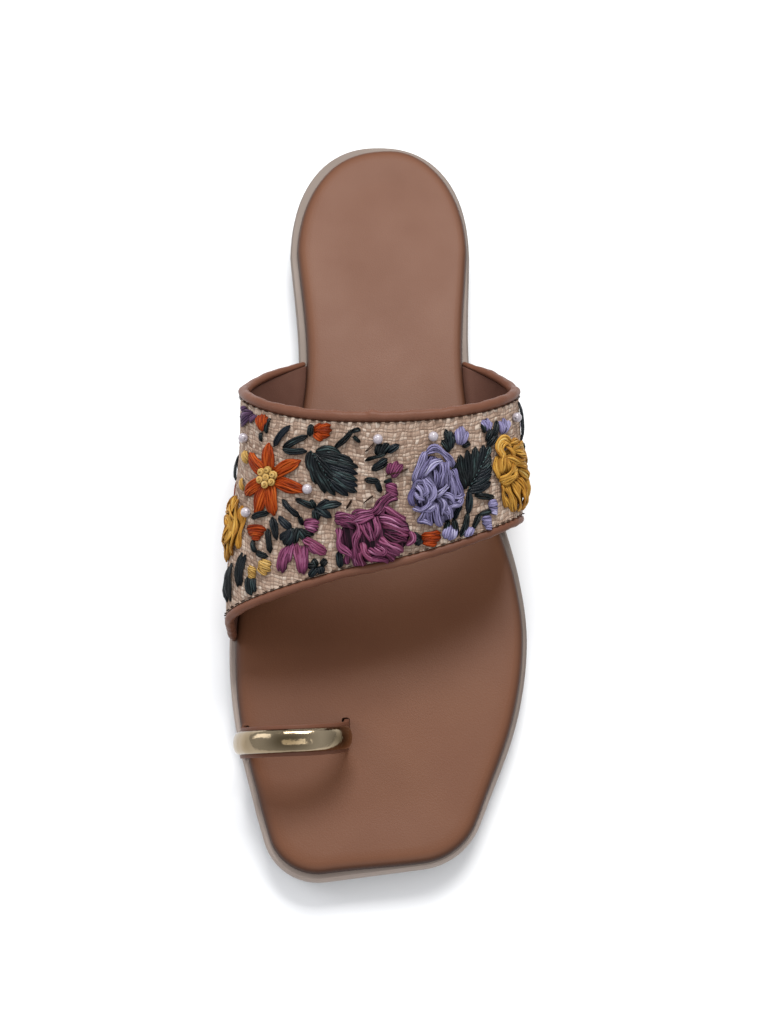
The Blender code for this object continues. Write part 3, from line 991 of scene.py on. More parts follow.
@dataclass(frozen=True)
class BandForm:
    """The last inside the instep band, and the band's own outline on it."""

    sole: SoleForm
    last: Table = Table(
        ("station", "crown height", "crown x", "INNER", "OUTER", "girth height"),
        (
            (85.0, 76.0, -2.0, 36.0, 37.0, 37.0),
            (106.0, 67.5, -2.5, 38.2, 39.2, 36.0),
            (128.0, 58.5, -3.0, 38.3, 40.0, 33.5),
            (147.0, 50.0, -3.5, 40.0, 40.0, 30.0),
            (165.0, 42.5, -4.0, 41.3, 40.4, 26.0),
            (176.0, 38.5, -4.0, 41.1, 40.6, 23.0),
        ),
    )
    crown_fullness: float = 2.35
    girth_turn: float = 0.64
    foot_inset: float = 2.4
    foot_turn: float = 0.8
    collar_foot: float = 85.0
    collar_reach: float = 44.0
    front_inner_foot: float = 174.0
    front_outer_foot: float = 139.5
    front_reach: float = 8.2
    wall: float = 1.8
    step: float = 0.002
    ruler_points: int = 1201

    def last_point(self, station: Array, turn: Array) -> Array:
        """Points on the last.

        Args:
            station: Their stations.
            turn: Their turns.

        Returns:
            The points.
        """
        outer = turn >= 0.0
        sign = np.where(outer, 1.0, -1.0)
        size = np.abs(turn)
        girth = self.last.read("girth height", station)
        breadth = np.where(outer, self.last.read("OUTER", station), self.last.read("INNER", station))
        angle = math.pi / 2.0 * (1.0 - np.minimum(size / self.girth_turn, 1.0))
        power = 2.0 / self.crown_fullness
        across = np.maximum(np.cos(angle), 0.0) ** power
        up = np.maximum(np.sin(angle), 0.0) ** power
        over_x = mix(self.last.read("crown x", station), sign * breadth, across)
        over_z = mix(girth, self.last.read("crown height", station), up)
        rise = np.clip((1.0 - size) / (1.0 - self.girth_turn), 0.0, 1.0)
        feet = [self.sole.half_width(station, side) for side in (Side.OUTER, Side.INNER)]
        foot = np.where(outer, *feet) - self.foot_inset
        side_x = sign * mix(foot, breadth, 1.0 - (1.0 - rise) ** 2)
        side_z = mix(self.sole.footbed(station) + GAP, girth, rise)
        over = size <= self.girth_turn
        x, z = np.where(over, over_x, side_x), np.where(over, over_z, side_z)
        return np.stack((x, self.sole.to_y(station), z), axis=-1)

    def surface(self, turn: Array, across: Array) -> Array:
        """Points on the inside of the band.

        Args:
            turn: Their turns.
            across: Their acrosses.

        Returns:
            The points.
        """
        lean = np.cos(turn * math.pi / 2.0)
        slant = (1.0 + np.sin(turn * math.pi / 2.0)) / 2.0
        front = mix(self.front_inner_foot, self.front_outer_foot, slant) + self.front_reach * lean**2
        collar = self.collar_foot + self.collar_reach * lean
        return self.last_point(mix(front, collar, across), turn)

    def slopes(self, turn: Array, across: Array) -> tuple[Array, Array]:
        """How the surface moves.

        Args:
            turn: The turns of places on it.
            across: Their acrosses.

        Returns:
            The move for one unit of turn, and the move for one unit of across.
        """
        low, high = np.maximum(turn - self.step, -1.0), np.minimum(turn + self.step, 1.0)
        round_it = (self.surface(high, across) - self.surface(low, across)) / (high - low)[..., None]
        up_it = self.surface(turn, across + self.step) - self.surface(turn, across - self.step)
        return round_it, up_it / (2.0 * self.step)

    def outward(self, turn: Array, across: Array) -> Array:
        """The way out of the band's wall, which is level where the wall stands on the sole.

        Args:
            turn: The turns of places on it.
            across: Their acrosses.

        Returns:
            The ways, at length 1.
        """
        round_it, up_it = self.slopes(turn, across)
        out = unit(np.cross(up_it, round_it))
        towards = np.stack((turn, np.zeros_like(turn), 1.0 - np.abs(turn)), axis=-1)
        out *= np.where((out * towards).sum(axis=-1) < 0.0, -1.0, 1.0)[..., None]
        out[..., 2] *= 1.0 - ease((np.abs(turn) - self.foot_turn) / (1.0 - self.foot_turn))
        return unit(out)

    def point(self, turn: Array, across: Array, depth: Array) -> Array:
        """Points at a depth out from the inside of the band."""
        turn, across = np.clip(turn, -1.0, 1.0), np.asarray(across, float)
        return self.surface(turn, across) + self.outward(turn, across) * np.asarray(depth, float)[..., None]

    def ruler(self) -> tuple[Array, Array]:
        """Measures round the middle of the band.

        Returns:
            Turns, and the distance from the crown to each, in millimetres.
        """
        turns = np.linspace(-1.0, 1.0, self.ruler_points)
        line = self.surface(turns, np.full_like(turns, 0.5))
        steps = np.linalg.norm(np.diff(line, axis=0), axis=-1)
        ways = np.concatenate(((0.0,), np.cumsum(steps)))
        return turns, ways - ways[self.ruler_points // 2]


class Ground:
    """Finds places on the band in millimetres round it and across it."""

    def __init__(self, form: BandForm) -> None:
        """Measures the band once."""
        self.form = form
        self.turns, self.ways = form.ruler()

    def turn_at(self, way: Array) -> Array:
        """The turn at a distance round the band."""
        return np.interp(way, self.ways, self.turns)

    def way_at(self, turn: Array) -> Array:
        """The distance round the band at a turn."""
        return np.interp(turn, self.turns, self.ways)

    def even_turns(self, count: int) -> Array:
        """Turns that lie evenly round the whole band."""
        return self.turn_at(np.linspace(self.ways[0], self.ways[-1], count))

    def around(self, centre: Point, spots: Array) -> tuple[Array, Array]:
        """Turns and acrosses of spots near a centre.

        Args:
            centre: The centre's turn and across.
            spots: Millimetres to the outer side and towards the collar, for each spot.

        Returns:
            The spots' turns and acrosses.
        """
        turn, across = (np.array(value) for value in centre)
        way = self.way_at(turn)
        near = self.turn_at(way + np.array((-1.0, 1.0)))
        ends = self.form.surface(near, np.full(2, across))
        round_it = (ends[1] - ends[0]) / 2.0
        up_it = self.form.slopes(turn, across)[1]
        length = float(np.linalg.norm(round_it))
        skew = float(up_it @ round_it) / length
        climb = math.sqrt(float(up_it @ up_it) - skew**2)
        acrosses = across + spots[..., 1] / climb
        ways = way + (spots[..., 0] - skew * (acrosses - across)) / length
        return self.turn_at(ways), acrosses


@dataclass(frozen=True)
class Band:
    """The woven band, its lining and its bindings.

    A wave of the yarns has a size in millimetres, a pace round the band, a pace down it, and a start.
    """

    form: BandForm
    pitch: float = WEAVE_PITCH
    relief: float = 0.12
    relief_level: float = 0.7
    round_waves: Rows = (
        (0.35, 0.0, 0.21, 1.3), (0.25, 0.37, 0.11, 0.0), (0.2, 2.3, 0.0, 0.0), (0.2, 0.7, 1.3, 0.0),
    )
    down_waves: Rows = (
        (0.3, 0.17, 0.0, 0.0), (0.25, 0.13, 0.29, 0.0), (0.18, 0.0, 2.7, 0.6), (0.2, 1.1, -0.6, 0.0),
    )
    map_start: float = 500.0
    rows: int = 560
    cloth_columns: int = 158
    lining_columns: int = 12
    lining_depth: float = 0.05
    lining_flare: float = 0.4
    flare_turn: float = 0.95
    binding_rows: int = 260
    binding_sides: int = 18
    binding_seat: float = 0.98
    collar_radius: float = 1.6
    front_radius: float = 1.32
    end_share: float = 0.5
    taper_turn: float = 0.84
    wrinkle: float = 0.05
    wrinkle_paces: Point = (0.83, 0.31)
    join_turn: float = 0.002
    join_step: float = 0.14
    join_length: float = 0.02

    def build(self, palette: Palette, ground: Ground) -> None:
        """Builds and dresses the cloth and the two bindings.

        Args:
            palette: The finishes.
            ground: The band to build on.
        """
        self.add_cloth(palette, ground)
        for name, across, way, radius in (
            ("collar_binding", 1.0, 1.0, self.collar_radius),
            ("front_binding", 0.0, -1.0, self.front_radius),
        ):
            piece = self.add_binding(f"{name}_roll", across, way, radius, ground)
            fit(piece, [palette["binding_leather"]], [name])

    def waver(self, round_it: Array, down: Array) -> Array:
        """Lets the yarns wander and differ in width.

        Args:
            round_it: Millimetres round the band.
            down: Millimetres down from the collar.

        Returns:
            The same places on the cloth's map.
        """
        right, below = (
            sum(size * np.sin(round_it * pace + down * fall + start) for size, pace, fall, start in waves)
            for waves in (self.round_waves, self.down_waves)
        )
        return np.stack((round_it + right, down + below), axis=-1)

    def pillow(self, places: Array) -> Array:
        """Height of the weave: in each cell one yarn lies over the other.

        Args:
            places: Places on the cloth's map.

        Returns:
            The heights there, from 0 to 1.
        """
        cells = np.floor(places / self.pitch)
        offset = places / self.pitch - cells - 0.5
        bulge = np.sqrt(1.0 - YARN_ROUND * offset**2)
        wave = np.cos(offset * math.pi)
        warp, weft = bulge[..., 0] * wave[..., 1], bulge[..., 1] * wave[..., 0]
        return np.where(cells.sum(axis=-1) % 2.0 < 0.5, warp, weft)

    def add_cloth(self, palette: Palette, ground: Ground) -> None:
        """The band: woven outside, leather inside, closed round both edges.

        Args:
            palette: The finishes.
            ground: The band to build on.
        """
        turns = ground.even_turns(self.rows)
        turn, across = np.meshgrid(turns, np.linspace(0.0, 1.0, self.cloth_columns), indexing="ij")
        flat = self.form.point(turn, across, np.full_like(turn, self.form.wall))
        steps = np.linalg.norm(np.diff(flat[:, ::-1], axis=1), axis=-1)
        drop = np.concatenate((np.zeros((self.rows, 1)), np.cumsum(steps, axis=1)), axis=1)[:, ::-1]
        chart = self.waver(ground.way_at(turn) + self.map_start, drop + self.map_start)
        height = self.relief * (self.pillow(chart) - self.relief_level)
        cloth = self.form.point(turn, across, self.form.wall + height)
        turn, across = np.meshgrid(turns, np.linspace(1.0, 0.0, self.lining_columns), indexing="ij")
        flare = self.lining_flare * ease((np.abs(turn) - self.flare_turn) / (1.0 - self.flare_turn))
        lining = self.form.point(turn, across, self.lining_depth - flare)
        piece = Bench.grid("woven_band", np.concatenate((cloth, lining, cloth[:, :1]), axis=1))
        inside = np.zeros((self.rows, self.lining_columns, 2))
        Bench.chart(piece, np.concatenate((chart, inside, chart[:, :1]), axis=1).reshape(-1, 2))
        numbers = np.arange(len(piece.data.polygons)) % (self.cloth_columns + self.lining_columns)
        leather = (numbers >= self.cloth_columns - 1).astype(np.int32)
        piece.data.polygons.foreach_set("material_index", leather)
        Bench.weld(piece)
        fit(piece, [palette["woven_raffia"], palette["lining_leather"]], ["instep_band"])

    def add_binding(self, name: str, across: float, way: float, size: float, ground: Ground) -> Piece:
        """A leather roll along one edge of the band, thinner where it goes down to the sole.

        Args:
            name: The piece's name.
            across: The edge's across.
            way: The way out of the band past that edge, as a sign of across.
            size: The roll's radius.
            ground: The band to build on.

        Returns:
            The roll, with a lapped join if it is the collar's.
        """
        turn = ground.even_turns(self.binding_rows)
        level = np.full_like(turn, across)
        taper = ease((np.abs(turn) - self.taper_turn) / (1.0 - self.taper_turn))
        radius = size * mix(1.0, self.end_share, taper)
        long, short = (ground.way_at(turn) * pace for pace in self.wrinkle_paces)
        radius *= 1.0 + self.wrinkle * np.sin(long) * np.sin(short + across)
        if across == 1.0:
            past = (turn - self.join_turn) / self.join_length
            radius *= 1.0 + self.join_step * np.where((past > 0.0) & (past < 1.0), 1.0 - past, 0.0)
        out = self.form.outward(turn, level)
        along = unit(self.form.slopes(turn, level)[1]) * way
        middle = self.form.point(turn, level, np.full_like(turn, self.form.wall / 2.0))
        middle = middle + along * radius[:, None] * self.binding_seat
        angles = np.linspace(0.0, math.tau, self.binding_sides, endpoint=False)
        ring = along[:, None] * np.cos(angles)[:, None] + out[:, None] * np.sin(angles)[:, None]
        points = middle[:, None] + ring * radius[:, None, None]
        floor = self.form.sole.footbed(self.form.sole.length / 2.0 - points[..., 1]) + GAP
        points[..., 2] = np.maximum(points[..., 2], floor)
        return Bench.loop(name, points)


@dataclass(frozen=True)
class ToeLoop:
    """The leather loop over the big toe, and the gold plate on it."""

    form: SoleForm
    inner_station: float = 206.2
    outer_station: float = 203.8
    inner_inset: float = 2.2
    outer_x: float = -9.0
    rise: float = 22.0
    lean: float = math.radians(16.0)
    lean_rise: float = 9.0
    fullness: float = 2.6
    bulge: float = 0.7
    width: float = 8.4
    thickness: float = 1.6
    edge_power: float = 0.24
    slot_clearance: float = 0.35
    slot_depth: float = 20.0
    slot_rounding: float = 0.7
    plate_width: float = 6.4
    plate_thickness: float = 2.0
    plate_gap: float = 0.1
    plate_dome: float = 0.8
    plate_span: Point = (0.09, 0.88)
    plate_end: float = 0.06
    plate_tip: float = 0.3
    # Painted dark reflections in patches along the plate's ridge.
    dark_reflection: float = 0.85
    dark_reflection_span: Point = (0.2, 0.97)
    dark_reflection_fade: float = 0.12
    dark_reflection_patches: int = 3
    dark_reflection_least: float = 0.1
    step: float = 0.002
    loop_rows: int = 90
    loop_sides: int = 28
    plate_rows: int = 110
    plate_sides: int = 26

    def slot_size(self) -> Array:
        """Sizes of the slot that a foot of the loop goes through."""
        clear = 2.0 * self.slot_clearance
        return np.array((self.thickness + clear, self.width + clear, self.slot_depth))

    def path(self, share: Array) -> tuple[Array, Array]:
        """Middle line of the loop.

        Args:
            share: Places along it, from 0 at its inner foot to 1 at its outer foot.

        Returns:
            The points there, and the loop's lean.
        """
        station = mix(self.inner_station, self.outer_station, share)
        inner_x = self.inner_inset - self.form.half_width(np.array(self.inner_station), Side.INNER)
        half_span = (self.outer_x - inner_x) / 2.0
        angle = math.pi * (1.0 - share)
        power = 2.0 / self.fullness
        across = squared(np.cos(angle), power)
        rise = np.maximum(np.sin(angle), 0.0) ** power
        height = self.rise * rise
        lean = self.lean * ease(height / self.lean_rise)
        x = inner_x + half_span * (1.0 + across) + self.bulge * bow(rise) * across
        y = self.form.to_y(station) - height * np.tan(lean)
        return np.stack((x, y, self.form.footbed(station) + GAP + height), axis=-1), lean

    def sweep(self, share: Array, section: Array) -> Array:
        """Sections of depth and width set along the loop.

        Args:
            share: The places along the loop.
            section: For each place, points of depth out from the middle line and of width towards the toe.

        Returns:
            Rows of points.
        """
        ahead, behind = np.minimum(share + self.step, 1.0), np.maximum(share - self.step, 0.0)
        along = self.path(ahead)[0] - self.path(behind)[0]
        middle, lean = self.path(share)
        forward = np.stack((np.zeros_like(lean), -np.cos(lean), -np.sin(lean)), axis=-1)
        out = unit(np.cross(forward, along))
        towards = np.stack((2.0 * share - 1.0, np.zeros_like(share), np.ones_like(share)), axis=-1)
        out *= np.where((out * towards).sum(axis=-1) < 0.0, -1.0, 1.0)[:, None]
        return middle[:, None] + out[:, None] * section[..., :1] + forward[:, None] * section[..., 1:]

    def build(self, palette: Palette) -> None:
        """Builds and dresses the loop and its plate."""
        self.add_strap(palette)
        self.add_plate(palette)

    def add_strap(self, palette: Palette) -> None:
        """The leather strap, with softly squared edges.

        Args:
            palette: The finishes.
        """
        angles = np.linspace(0.0, math.tau, self.loop_sides, endpoint=False)
        depth = self.thickness / 2.0 * squared(np.cos(angles), self.edge_power)
        wide = self.width / 2.0 * squared(np.sin(angles), self.edge_power)
        share = np.linspace(0.0, 1.0, self.loop_rows)
        section = np.broadcast_to(np.stack((depth, wide), axis=-1), (len(share), len(angles), 2))
        loop = Bench.loop("toe_loop_strap", self.sweep(share, section))
        fit(loop, [palette["binding_leather"]], ["toe_loop"])

    def add_plate(self, palette: Palette) -> None:
        """The domed plate with rounded ends, with painted dark reflections in patches along its ridge.

        Args:
            palette: The finishes.
        """
        along = (1.0 - np.cos(np.linspace(0.0, math.pi, self.plate_rows))) / 2.0
        short = np.maximum(0.0, 1.0 - np.minimum(along, 1.0 - along) / self.plate_end)
        full = mix(self.plate_tip, 1.0, np.sqrt(1.0 - short**2))[:, None]
        arc = np.linspace(0.0, math.pi, self.plate_sides)
        wide = -self.plate_width / 2.0 * full * np.cos(arc)
        rise = np.maximum(np.sin(arc), 0.0) ** self.plate_dome
        depth = self.thickness / 2.0 + self.plate_gap + self.plate_thickness * full * rise
        section = np.stack((depth, wide), axis=-1)
        # Painted reflection: the ridge darkens in patches between the plate's ends.
        low, high = self.dark_reflection_span
        middle = ease((along - low) / self.dark_reflection_fade) * ease((high - along) / self.dark_reflection_fade)
        waves = (1.0 - np.cos(self.dark_reflection_patches * math.tau * along)) / 2.0
        patches = middle * mix(self.dark_reflection_least, 1.0, waves)
        dark_reflection = self.dark_reflection * patches[:, None] * np.sin(arc) ** 2
        plate = Bench.loop("toe_loop_plate", self.sweep(mix(*self.plate_span, along), section), dark_reflection)
        fit(plate, [palette["polished_gold"]], ["toe_loop_trim"])


class Needle:
    """Lays flat strips and padded mounds on the band, and gathers them as one mesh."""

    thickness: float = 0.5
    underside: float = 0.35
    sides: int = 8
    overlap: float = 0.78
    tip_width: float = 0.22
    tip_thickness: float = 0.45
    # tip_shade, edge_shade and strip_shade are painted shade: darker at a strip's ends, along each strand's
    # sides and on the outer strands of a folded strip.
    tip_shade: float = 0.72
    tip_reach: float = 1.6
    edge_shade: float = 0.3
    strip_shade: float = 0.4
    tone_change: float = 0.08
    strand_change: float = 0.17
    strand_lift: Point = (-0.1, 0.16)
    strand_droop: float = 0.1
    wander: float = 0.07
    wander_pace: float = 0.9
    crumples: tuple[float, ...] = (0.26, 0.16, 0.5)
    paces: tuple[float, ...] = (0.85, 1.2, 0.65)
    map_reach: float = 50.0
    mound_sink: float = 0.2
    mound_margin: float = 0.005
    mound_map: float = 0.2

    def __init__(self, ground: Ground, seed: int) -> None:
        """Starts with nothing laid.

        Args:
            ground: The band to lay on.
            seed: The seed of the small differences between strips.
        """
        self.ground = ground
        self.random = np.random.default_rng(seed)
        self.points: list[Array] = []
        self.faces: list[tuple[int, ...]] = []
        self.maps: list[Array] = []
        self.shades: list[Array] = []
        self.casts: list[Array] = []
        self.count = 0

    def about(self, value: float, change: float) -> float:
        """A random value at most a change away from the one given."""
        return value + self.random.uniform(-change, change)

    def chance_cast(self, middle: float, spread: float) -> float:
        """A random lean to the second colour, often none."""
        return max(0.0, self.random.normal(middle, spread))

    def gather(self, points: Array, faces: Sequence, maps: Array, shade: Array, cast: float) -> None:
        """Adds one closed shape.

        Args:
            points: Its points, in millimetres.
            faces: Its faces, as numbers of its own points.
            maps: The map of each point.
            shade: The shade of each point, from 0 dark to 1 light.
            cast: How far it leans to the second colour.
        """
        self.points.append(points)
        self.faces.extend(tuple(int(i) + self.count for i in face) for face in faces)
        self.maps.append(maps)
        self.shades.append(np.broadcast_to(shade, (len(points),)))
        self.casts.append(np.full(len(points), cast))
        self.count += len(points)

    def lay(
        self, turn: Array, across: Array, lift: Array, width: float, shade: float, cast: float = 0.0,
        ends: Ends = Ends.BLUNT, roll: float = 0.0, strands: int = 1, crumple: float = 0.0,
    ) -> None:
        """Lays one strip, flat or folded lengthwise into strands.

        Args:
            turn: Turns of its middle line.
            across: Acrosses of its middle line.
            lift: Heights of its underside above the cloth, in millimetres.
            width: Its width.
            shade: Its shade.
            cast: How far it leans to the second colour.
            ends: How its ends narrow.
            roll: How far it is turned on its edge, in radians.
            strands: How many strands the strip is folded into.
            crumple: How much it twists, puckers and strays, from 0 for none to 1.
        """
        form = self.ground.form
        middle = form.point(turn, across, form.wall + lift)
        out = form.outward(np.clip(turn, -1.0, 1.0), across)
        along = unit(np.gradient(middle, axis=0))
        sideways = unit(np.cross(along, out))
        out = np.cross(sideways, along)
        steps = np.linalg.norm(np.diff(middle, axis=0), axis=-1)
        way = np.concatenate(((0.0,), np.cumsum(steps)))
        starts = self.random.uniform(0.0, math.tau, len(self.paces))
        waves = zip(self.crumples, self.paces, starts)
        stray, pucker, twist = (crumple * size * np.sin(way * pace + start) for size, pace, start in waves)
        middle = middle + sideways * stray[:, None]
        tilt = (roll + twist)[:, None]
        flat = sideways * np.cos(tilt) + out * np.sin(tilt)
        up = out * np.cos(tilt) - sideways * np.sin(tilt)
        share = way / way[-1]
        near = np.minimum(share, 1.0 - share) / ends.value
        taper = np.sqrt(np.clip(1.0 - (1.0 - np.minimum(near, 1.0)) ** 2, 0.0, 1.0))
        full = mix(self.tip_width, 1.0, taper) * (1.0 + pucker)
        # Painted shade where the strip's ends tuck into the cloth.
        dim = mix(self.tip_shade, 1.0, ease(near / self.tip_reach))
        tone = self.about(shade, self.tone_change)
        many, span = strands > 1, max(strands - 1, 1)
        strand_width = width / mix(1.0, strands, self.overlap)
        reach = self.wander * (1.0 + crumple) * many
        for k in range(strands):
            offset = (k - (strands - 1) / 2.0) * (width - strand_width) / span
            wander = reach * np.sin(way * self.wander_pace + self.random.uniform(0.0, math.tau))
            rise = self.random.uniform(*self.strand_lift) * many - self.strand_droop * abs(offset)
            line = middle + flat * (offset * full + wander)[:, None] + up * rise
            own = tone + self.about(0.0, self.strand_change) * many
            # Painted shade on the outer strands, darker in the creases between strips.
            outer = abs(2.0 * k / span - 1.0) * (strands > 2)
            own *= 1.0 - self.strip_shade * crumple * outer
            self.strand(line, flat, up, way, full, strand_width, own * dim, cast)

    def strand(
        self, line: Array, flat: Array, up: Array, way: Array, full: Array, width: float, shade: Array,
        cast: float,
    ) -> None:
        """Gathers one strand, domed above and flat below.

        Args:
            line: Its middle line.
            flat: The way across it at each point.
            up: The way out of it at each point.
            way: The distance along it at each point.
            full: The share of its full width at each point.
            width: Its full width.
            shade: Its shade at each point.
            cast: How far it leans to the second colour.
        """
        rows, sides = len(line), self.sides
        angles = np.linspace(0.0, math.tau, sides, endpoint=False)
        wide = np.cos(angles) * width / 2.0
        domed = np.where(np.sin(angles) > 0.0, np.sin(angles), self.underside * np.sin(angles))
        wide = (wide * full[:, None])[..., None]
        thick = (domed * self.thickness * mix(self.tip_thickness, 1.0, full)[:, None])[..., None]
        points = line[:, None] + flat[:, None] * wide + up[:, None] * thick
        faces = []
        for one in range(0, (rows - 1) * sides, sides):
            two = one + sides
            for k in range(sides):
                after = (k + 1) % sides
                faces.append((one + k, two + k, two + after, one + after))
        faces.append(tuple(range(sides)))
        faces.append(tuple(range(rows * sides - 1, (rows - 1) * sides - 1, -1)))
        offset = self.random.uniform(0.0, self.map_reach)
        maps = np.stack(np.broadcast_arrays(angles / math.tau + offset, way[:, None] + offset), axis=-1)
        # Painted shade along each strand's sides, darker where strands meet.
        tones = shade[:, None] * mix(self.edge_shade, 1.0, np.maximum(np.sin(angles), 0.0))
        self.gather(points.reshape(-1, 3), faces, maps.reshape(-1, 2), tones.ravel(), cast)

    def mound(
        self, centre: Point, half: Point, height: float, shade: float, rings: int = 5, count: int = 26
    ) -> None:
        """Lays a low padded mound, closed below.

        Args:
            centre: Turn and across of its middle.
            half: Its half sizes round and across the band.
            height: Its height.
            shade: Its shade.
            rings: Rings on its top.
            count: Points in each ring.
        """
        form = self.ground.form
        shares = np.linspace(1.0, 0.0, rings + 1)[:-1]
        angles = np.linspace(0.0, math.tau, count, endpoint=False)
        edge = np.stack((half[0] * np.cos(angles), half[1] * np.sin(angles)), axis=-1)
        middle = np.zeros((1, 2))
        spots = np.concatenate((middle, (shares[:, None, None] * edge).reshape(-1, 2), middle))
        rises = np.concatenate(((0.0,), np.repeat(np.sqrt(1.0 - shares**2), count), (1.0,)))
        turn, across = self.ground.around(centre, spots)
        across = np.clip(across, self.mound_margin, 1.0 - self.mound_margin)
        points = form.point(turn, across, form.wall - self.mound_sink + height * rises)
        pairs = [(k, (k + 1) % count) for k in range(count)]
        faces = [(0, 1 + after, 1 + k) for k, after in pairs]
        for one in range(1, 1 + (rings - 1) * count, count):
            two = one + count
            faces.extend((one + k, one + after, two + after, two + k) for k, after in pairs)
        top = len(points) - 1
        last = top - count
        faces.extend((last + k, last + after, top) for k, after in pairs)
        self.gather(points, faces, spots * self.mound_map, shade, 0.0)

    def piece(self, name: str) -> Piece:
        """Makes everything laid so far one smooth piece.

        Args:
            name: The piece's name.

        Returns:
            The piece, with its map, shades and casts.
        """
        mesh = bpy.data.meshes.new(name)
        mesh.from_pydata((np.concatenate(self.points) * MM).tolist(), [], self.faces)
        made = bpy.data.objects.new(name, mesh)
        bpy.context.scene.collection.objects.link(made)
        Bench.chart(made, np.concatenate(self.maps))
        Bench.paint(made, "shade", np.concatenate(self.shades))
        Bench.paint(made, "cast", np.concatenate(self.casts))
        Bench.face_out(made)
        bpy.ops.object.shade_smooth_by_angle(angle=STRAND_ANGLE)
        return made


@dataclass(frozen=True)
class Rose:
    """A rosette of wound strips, laid over a padded mound.

    A strip's row has the millimetres round and across of each spot that it passes, then how far it arches,
    its width and its shade; the darkest shades are painted shade in the rosette's hollows.
    """

    node: str
    slot: str
    centre: Point
    half: Point
    height: float
    strips: Rows
    fullness: float = 1.0
    samples: int = 15
    broad: float = 2.25
    broad_strands: int = 4
    narrow_strands: int = 3
    pad_width: float = 0.86
    pad_height: float = 0.55
    # The mound is dark: painted shade that shows in the gaps between strips.
    pad_shade: float = 0.05
    rim_height: float = 0.04
    strip_foot: float = 0.1
    strip_height: float = 0.62
    end_height: float = 0.55
    bow_power: float = 0.7
    roll: float = 0.4
    cast: Point = (0.05, 0.16)

    def dome(self, spots: Array) -> Array:
        """Height of the rosette's dome at spots round its centre."""
        size = (spots / np.array(self.half)) ** 2
        return self.height * np.sqrt(np.maximum(1.0 - size.sum(axis=-1), self.rim_height))

    def build(self, palette: Palette, ground: Ground, seed: int) -> None:
        """Lays and dresses the rosette.

        Args:
            palette: The finishes.
            ground: The band to lay on.
            seed: The seed of its small differences.
        """
        needle = Needle(ground, seed)
        # A dark padded mound under the strips: painted shade in the gaps between them.
        pad = self.pad_width * np.array(self.half)
        needle.mound(self.centre, pad, self.pad_height * self.height, self.pad_shade)
        arc = bow(np.linspace(0.0, 1.0, self.samples), self.bow_power)
        for *spots, arch, width, shade in self.strips:
            line = smooth_line(np.reshape(spots, (-1, 2)), self.samples)
            seat = self.dome(line) * self.strip_height * mix(self.end_height, 1.0, arc)
            lift = self.strip_foot + seat + arch * arc
            turn, across = ground.around(self.centre, line)
            roll = needle.about(0.0, self.roll)
            cast = needle.chance_cast(*self.cast)
            strands = self.broad_strands if width > self.broad else self.narrow_strands
            full = width * self.fullness
            needle.lay(turn, across, lift, full, shade, cast, roll=roll, strands=strands, crumple=1.0)
        fit(needle.piece(f"{self.node}_strips"), [palette[f"{self.slot}_strand"]], [self.node])


LAVENDER_STRIPS = (
    (-1.5, -3.2, -1.4, -6.6, -1.1, -10.2, 0.3, 2.5, 0.45), (0.6, -3.4, 1.6, -6.0, 2.4, -8.8, 0.3, 2.2, 0.5),
    (-3.5, -4.4, -5.0, -6.2, -6.2, -8.0, 0.3, 2.2, 0.55), (2.6, -3.6, 5.0, -5.4, 6.9, -5.0, 0.3, 2.2, 0.55),
    (3.4, -2.2, 5.6, -3.6, 7.4, -2.8, 0.3, 2.0, 0.45), (-2.6, -3.6, -3.2, -6.4, -3.6, -9.0, 0.3, 2.0, 0.4),
    (5.2, 4.6, 6.2, 0.6, 5.9, -3.8, 0.4, 2.5, 0.65), (3.9, 4.8, 4.6, 0.8, 3.6, -4.0, 0.4, 2.3, 0.5),
    (-0.6, 10.4, 2.4, 11.0, 5.0, 8.8, 5.6, 5.2, 0.5, 2.5, 0.55),
    (-5.4, 2.8, -3.4, 7.0, -0.4, 10.6, 0.5, 2.6, 0.55), (-3.8, 3.2, -1.8, 6.6, 1.2, 8.8, 0.4, 2.2, 0.35),
    (-2.4, 4.4, 0.4, 7.0, 3.2, 7.7, 0.7, 2.2, 0.7), (2.8, 7.4, 2.3, 4.0, 1.2, 0.2, 0.5, 2.4, 0.6),
    (4.2, 7.2, 4.0, 4.0, 2.4, 0.4, 0.5, 2.2, 0.45), (0.9, 6.2, 0.6, 3.4, 0.0, 0.2, 0.3, 2.0, 0.4),
    (-0.2, -2.0, 0.8, -4.6, 0.2, -7.4, 0.5, 2.2, 0.6), (-6.9, -3.0, -6.6, 0.4, -5.2, 2.6, 0.5, 2.1, 0.5),
    (-5.8, 1.4, -4.6, 3.0, -2.8, 2.6, 0.7, 1.8, 0.65),
    (-6.8, -3.4, -5.2, -4.6, -3.0, -3.4, -1.6, -1.2, 0.6, 2.0, 0.6),
    (-2.4, 3.8, -1.0, 1.6, -1.4, -1.4, -3.4, -3.0, 0.9, 2.2, 0.68),
    (-5.6, 0.6, -5.4, -1.0, -3.8, -2.0, 0.8, 1.7, 0.62), (-3.2, 1.6, -2.6, 0.0, -3.6, -1.2, 1.0, 1.6, 0.7),
    (-4.8, 2.8, -4.2, 0.4, -4.8, -2.4, 0.9, 1.9, 0.66), (-2.9, 3.4, -2.5, 0.8, -3.1, -1.8, 1.0, 1.9, 0.58),
    (-6.4, -6.6, -4.8, -7.6, -3.0, -9.2, 0.4, 2.0, 0.6),
    (-4.6, -4.6, -2.8, -5.2, -1.0, -3.8, 0.6, 1.9, 0.62), (-0.6, -1.6, 1.2, -0.8, 3.4, 0.8, 0.7, 2.0, 0.6),
    (1.2, -1.0, 3.0, -2.6, 3.6, -5.0, 0.4, 2.2, 0.5), (2.0, -5.8, 4.6, -5.4, 6.8, -3.2, 0.6, 1.7, 0.68),
    (0.4, -5.0, 1.4, -7.0, 3.0, -6.4, 0.5, 1.7, 0.55),
)
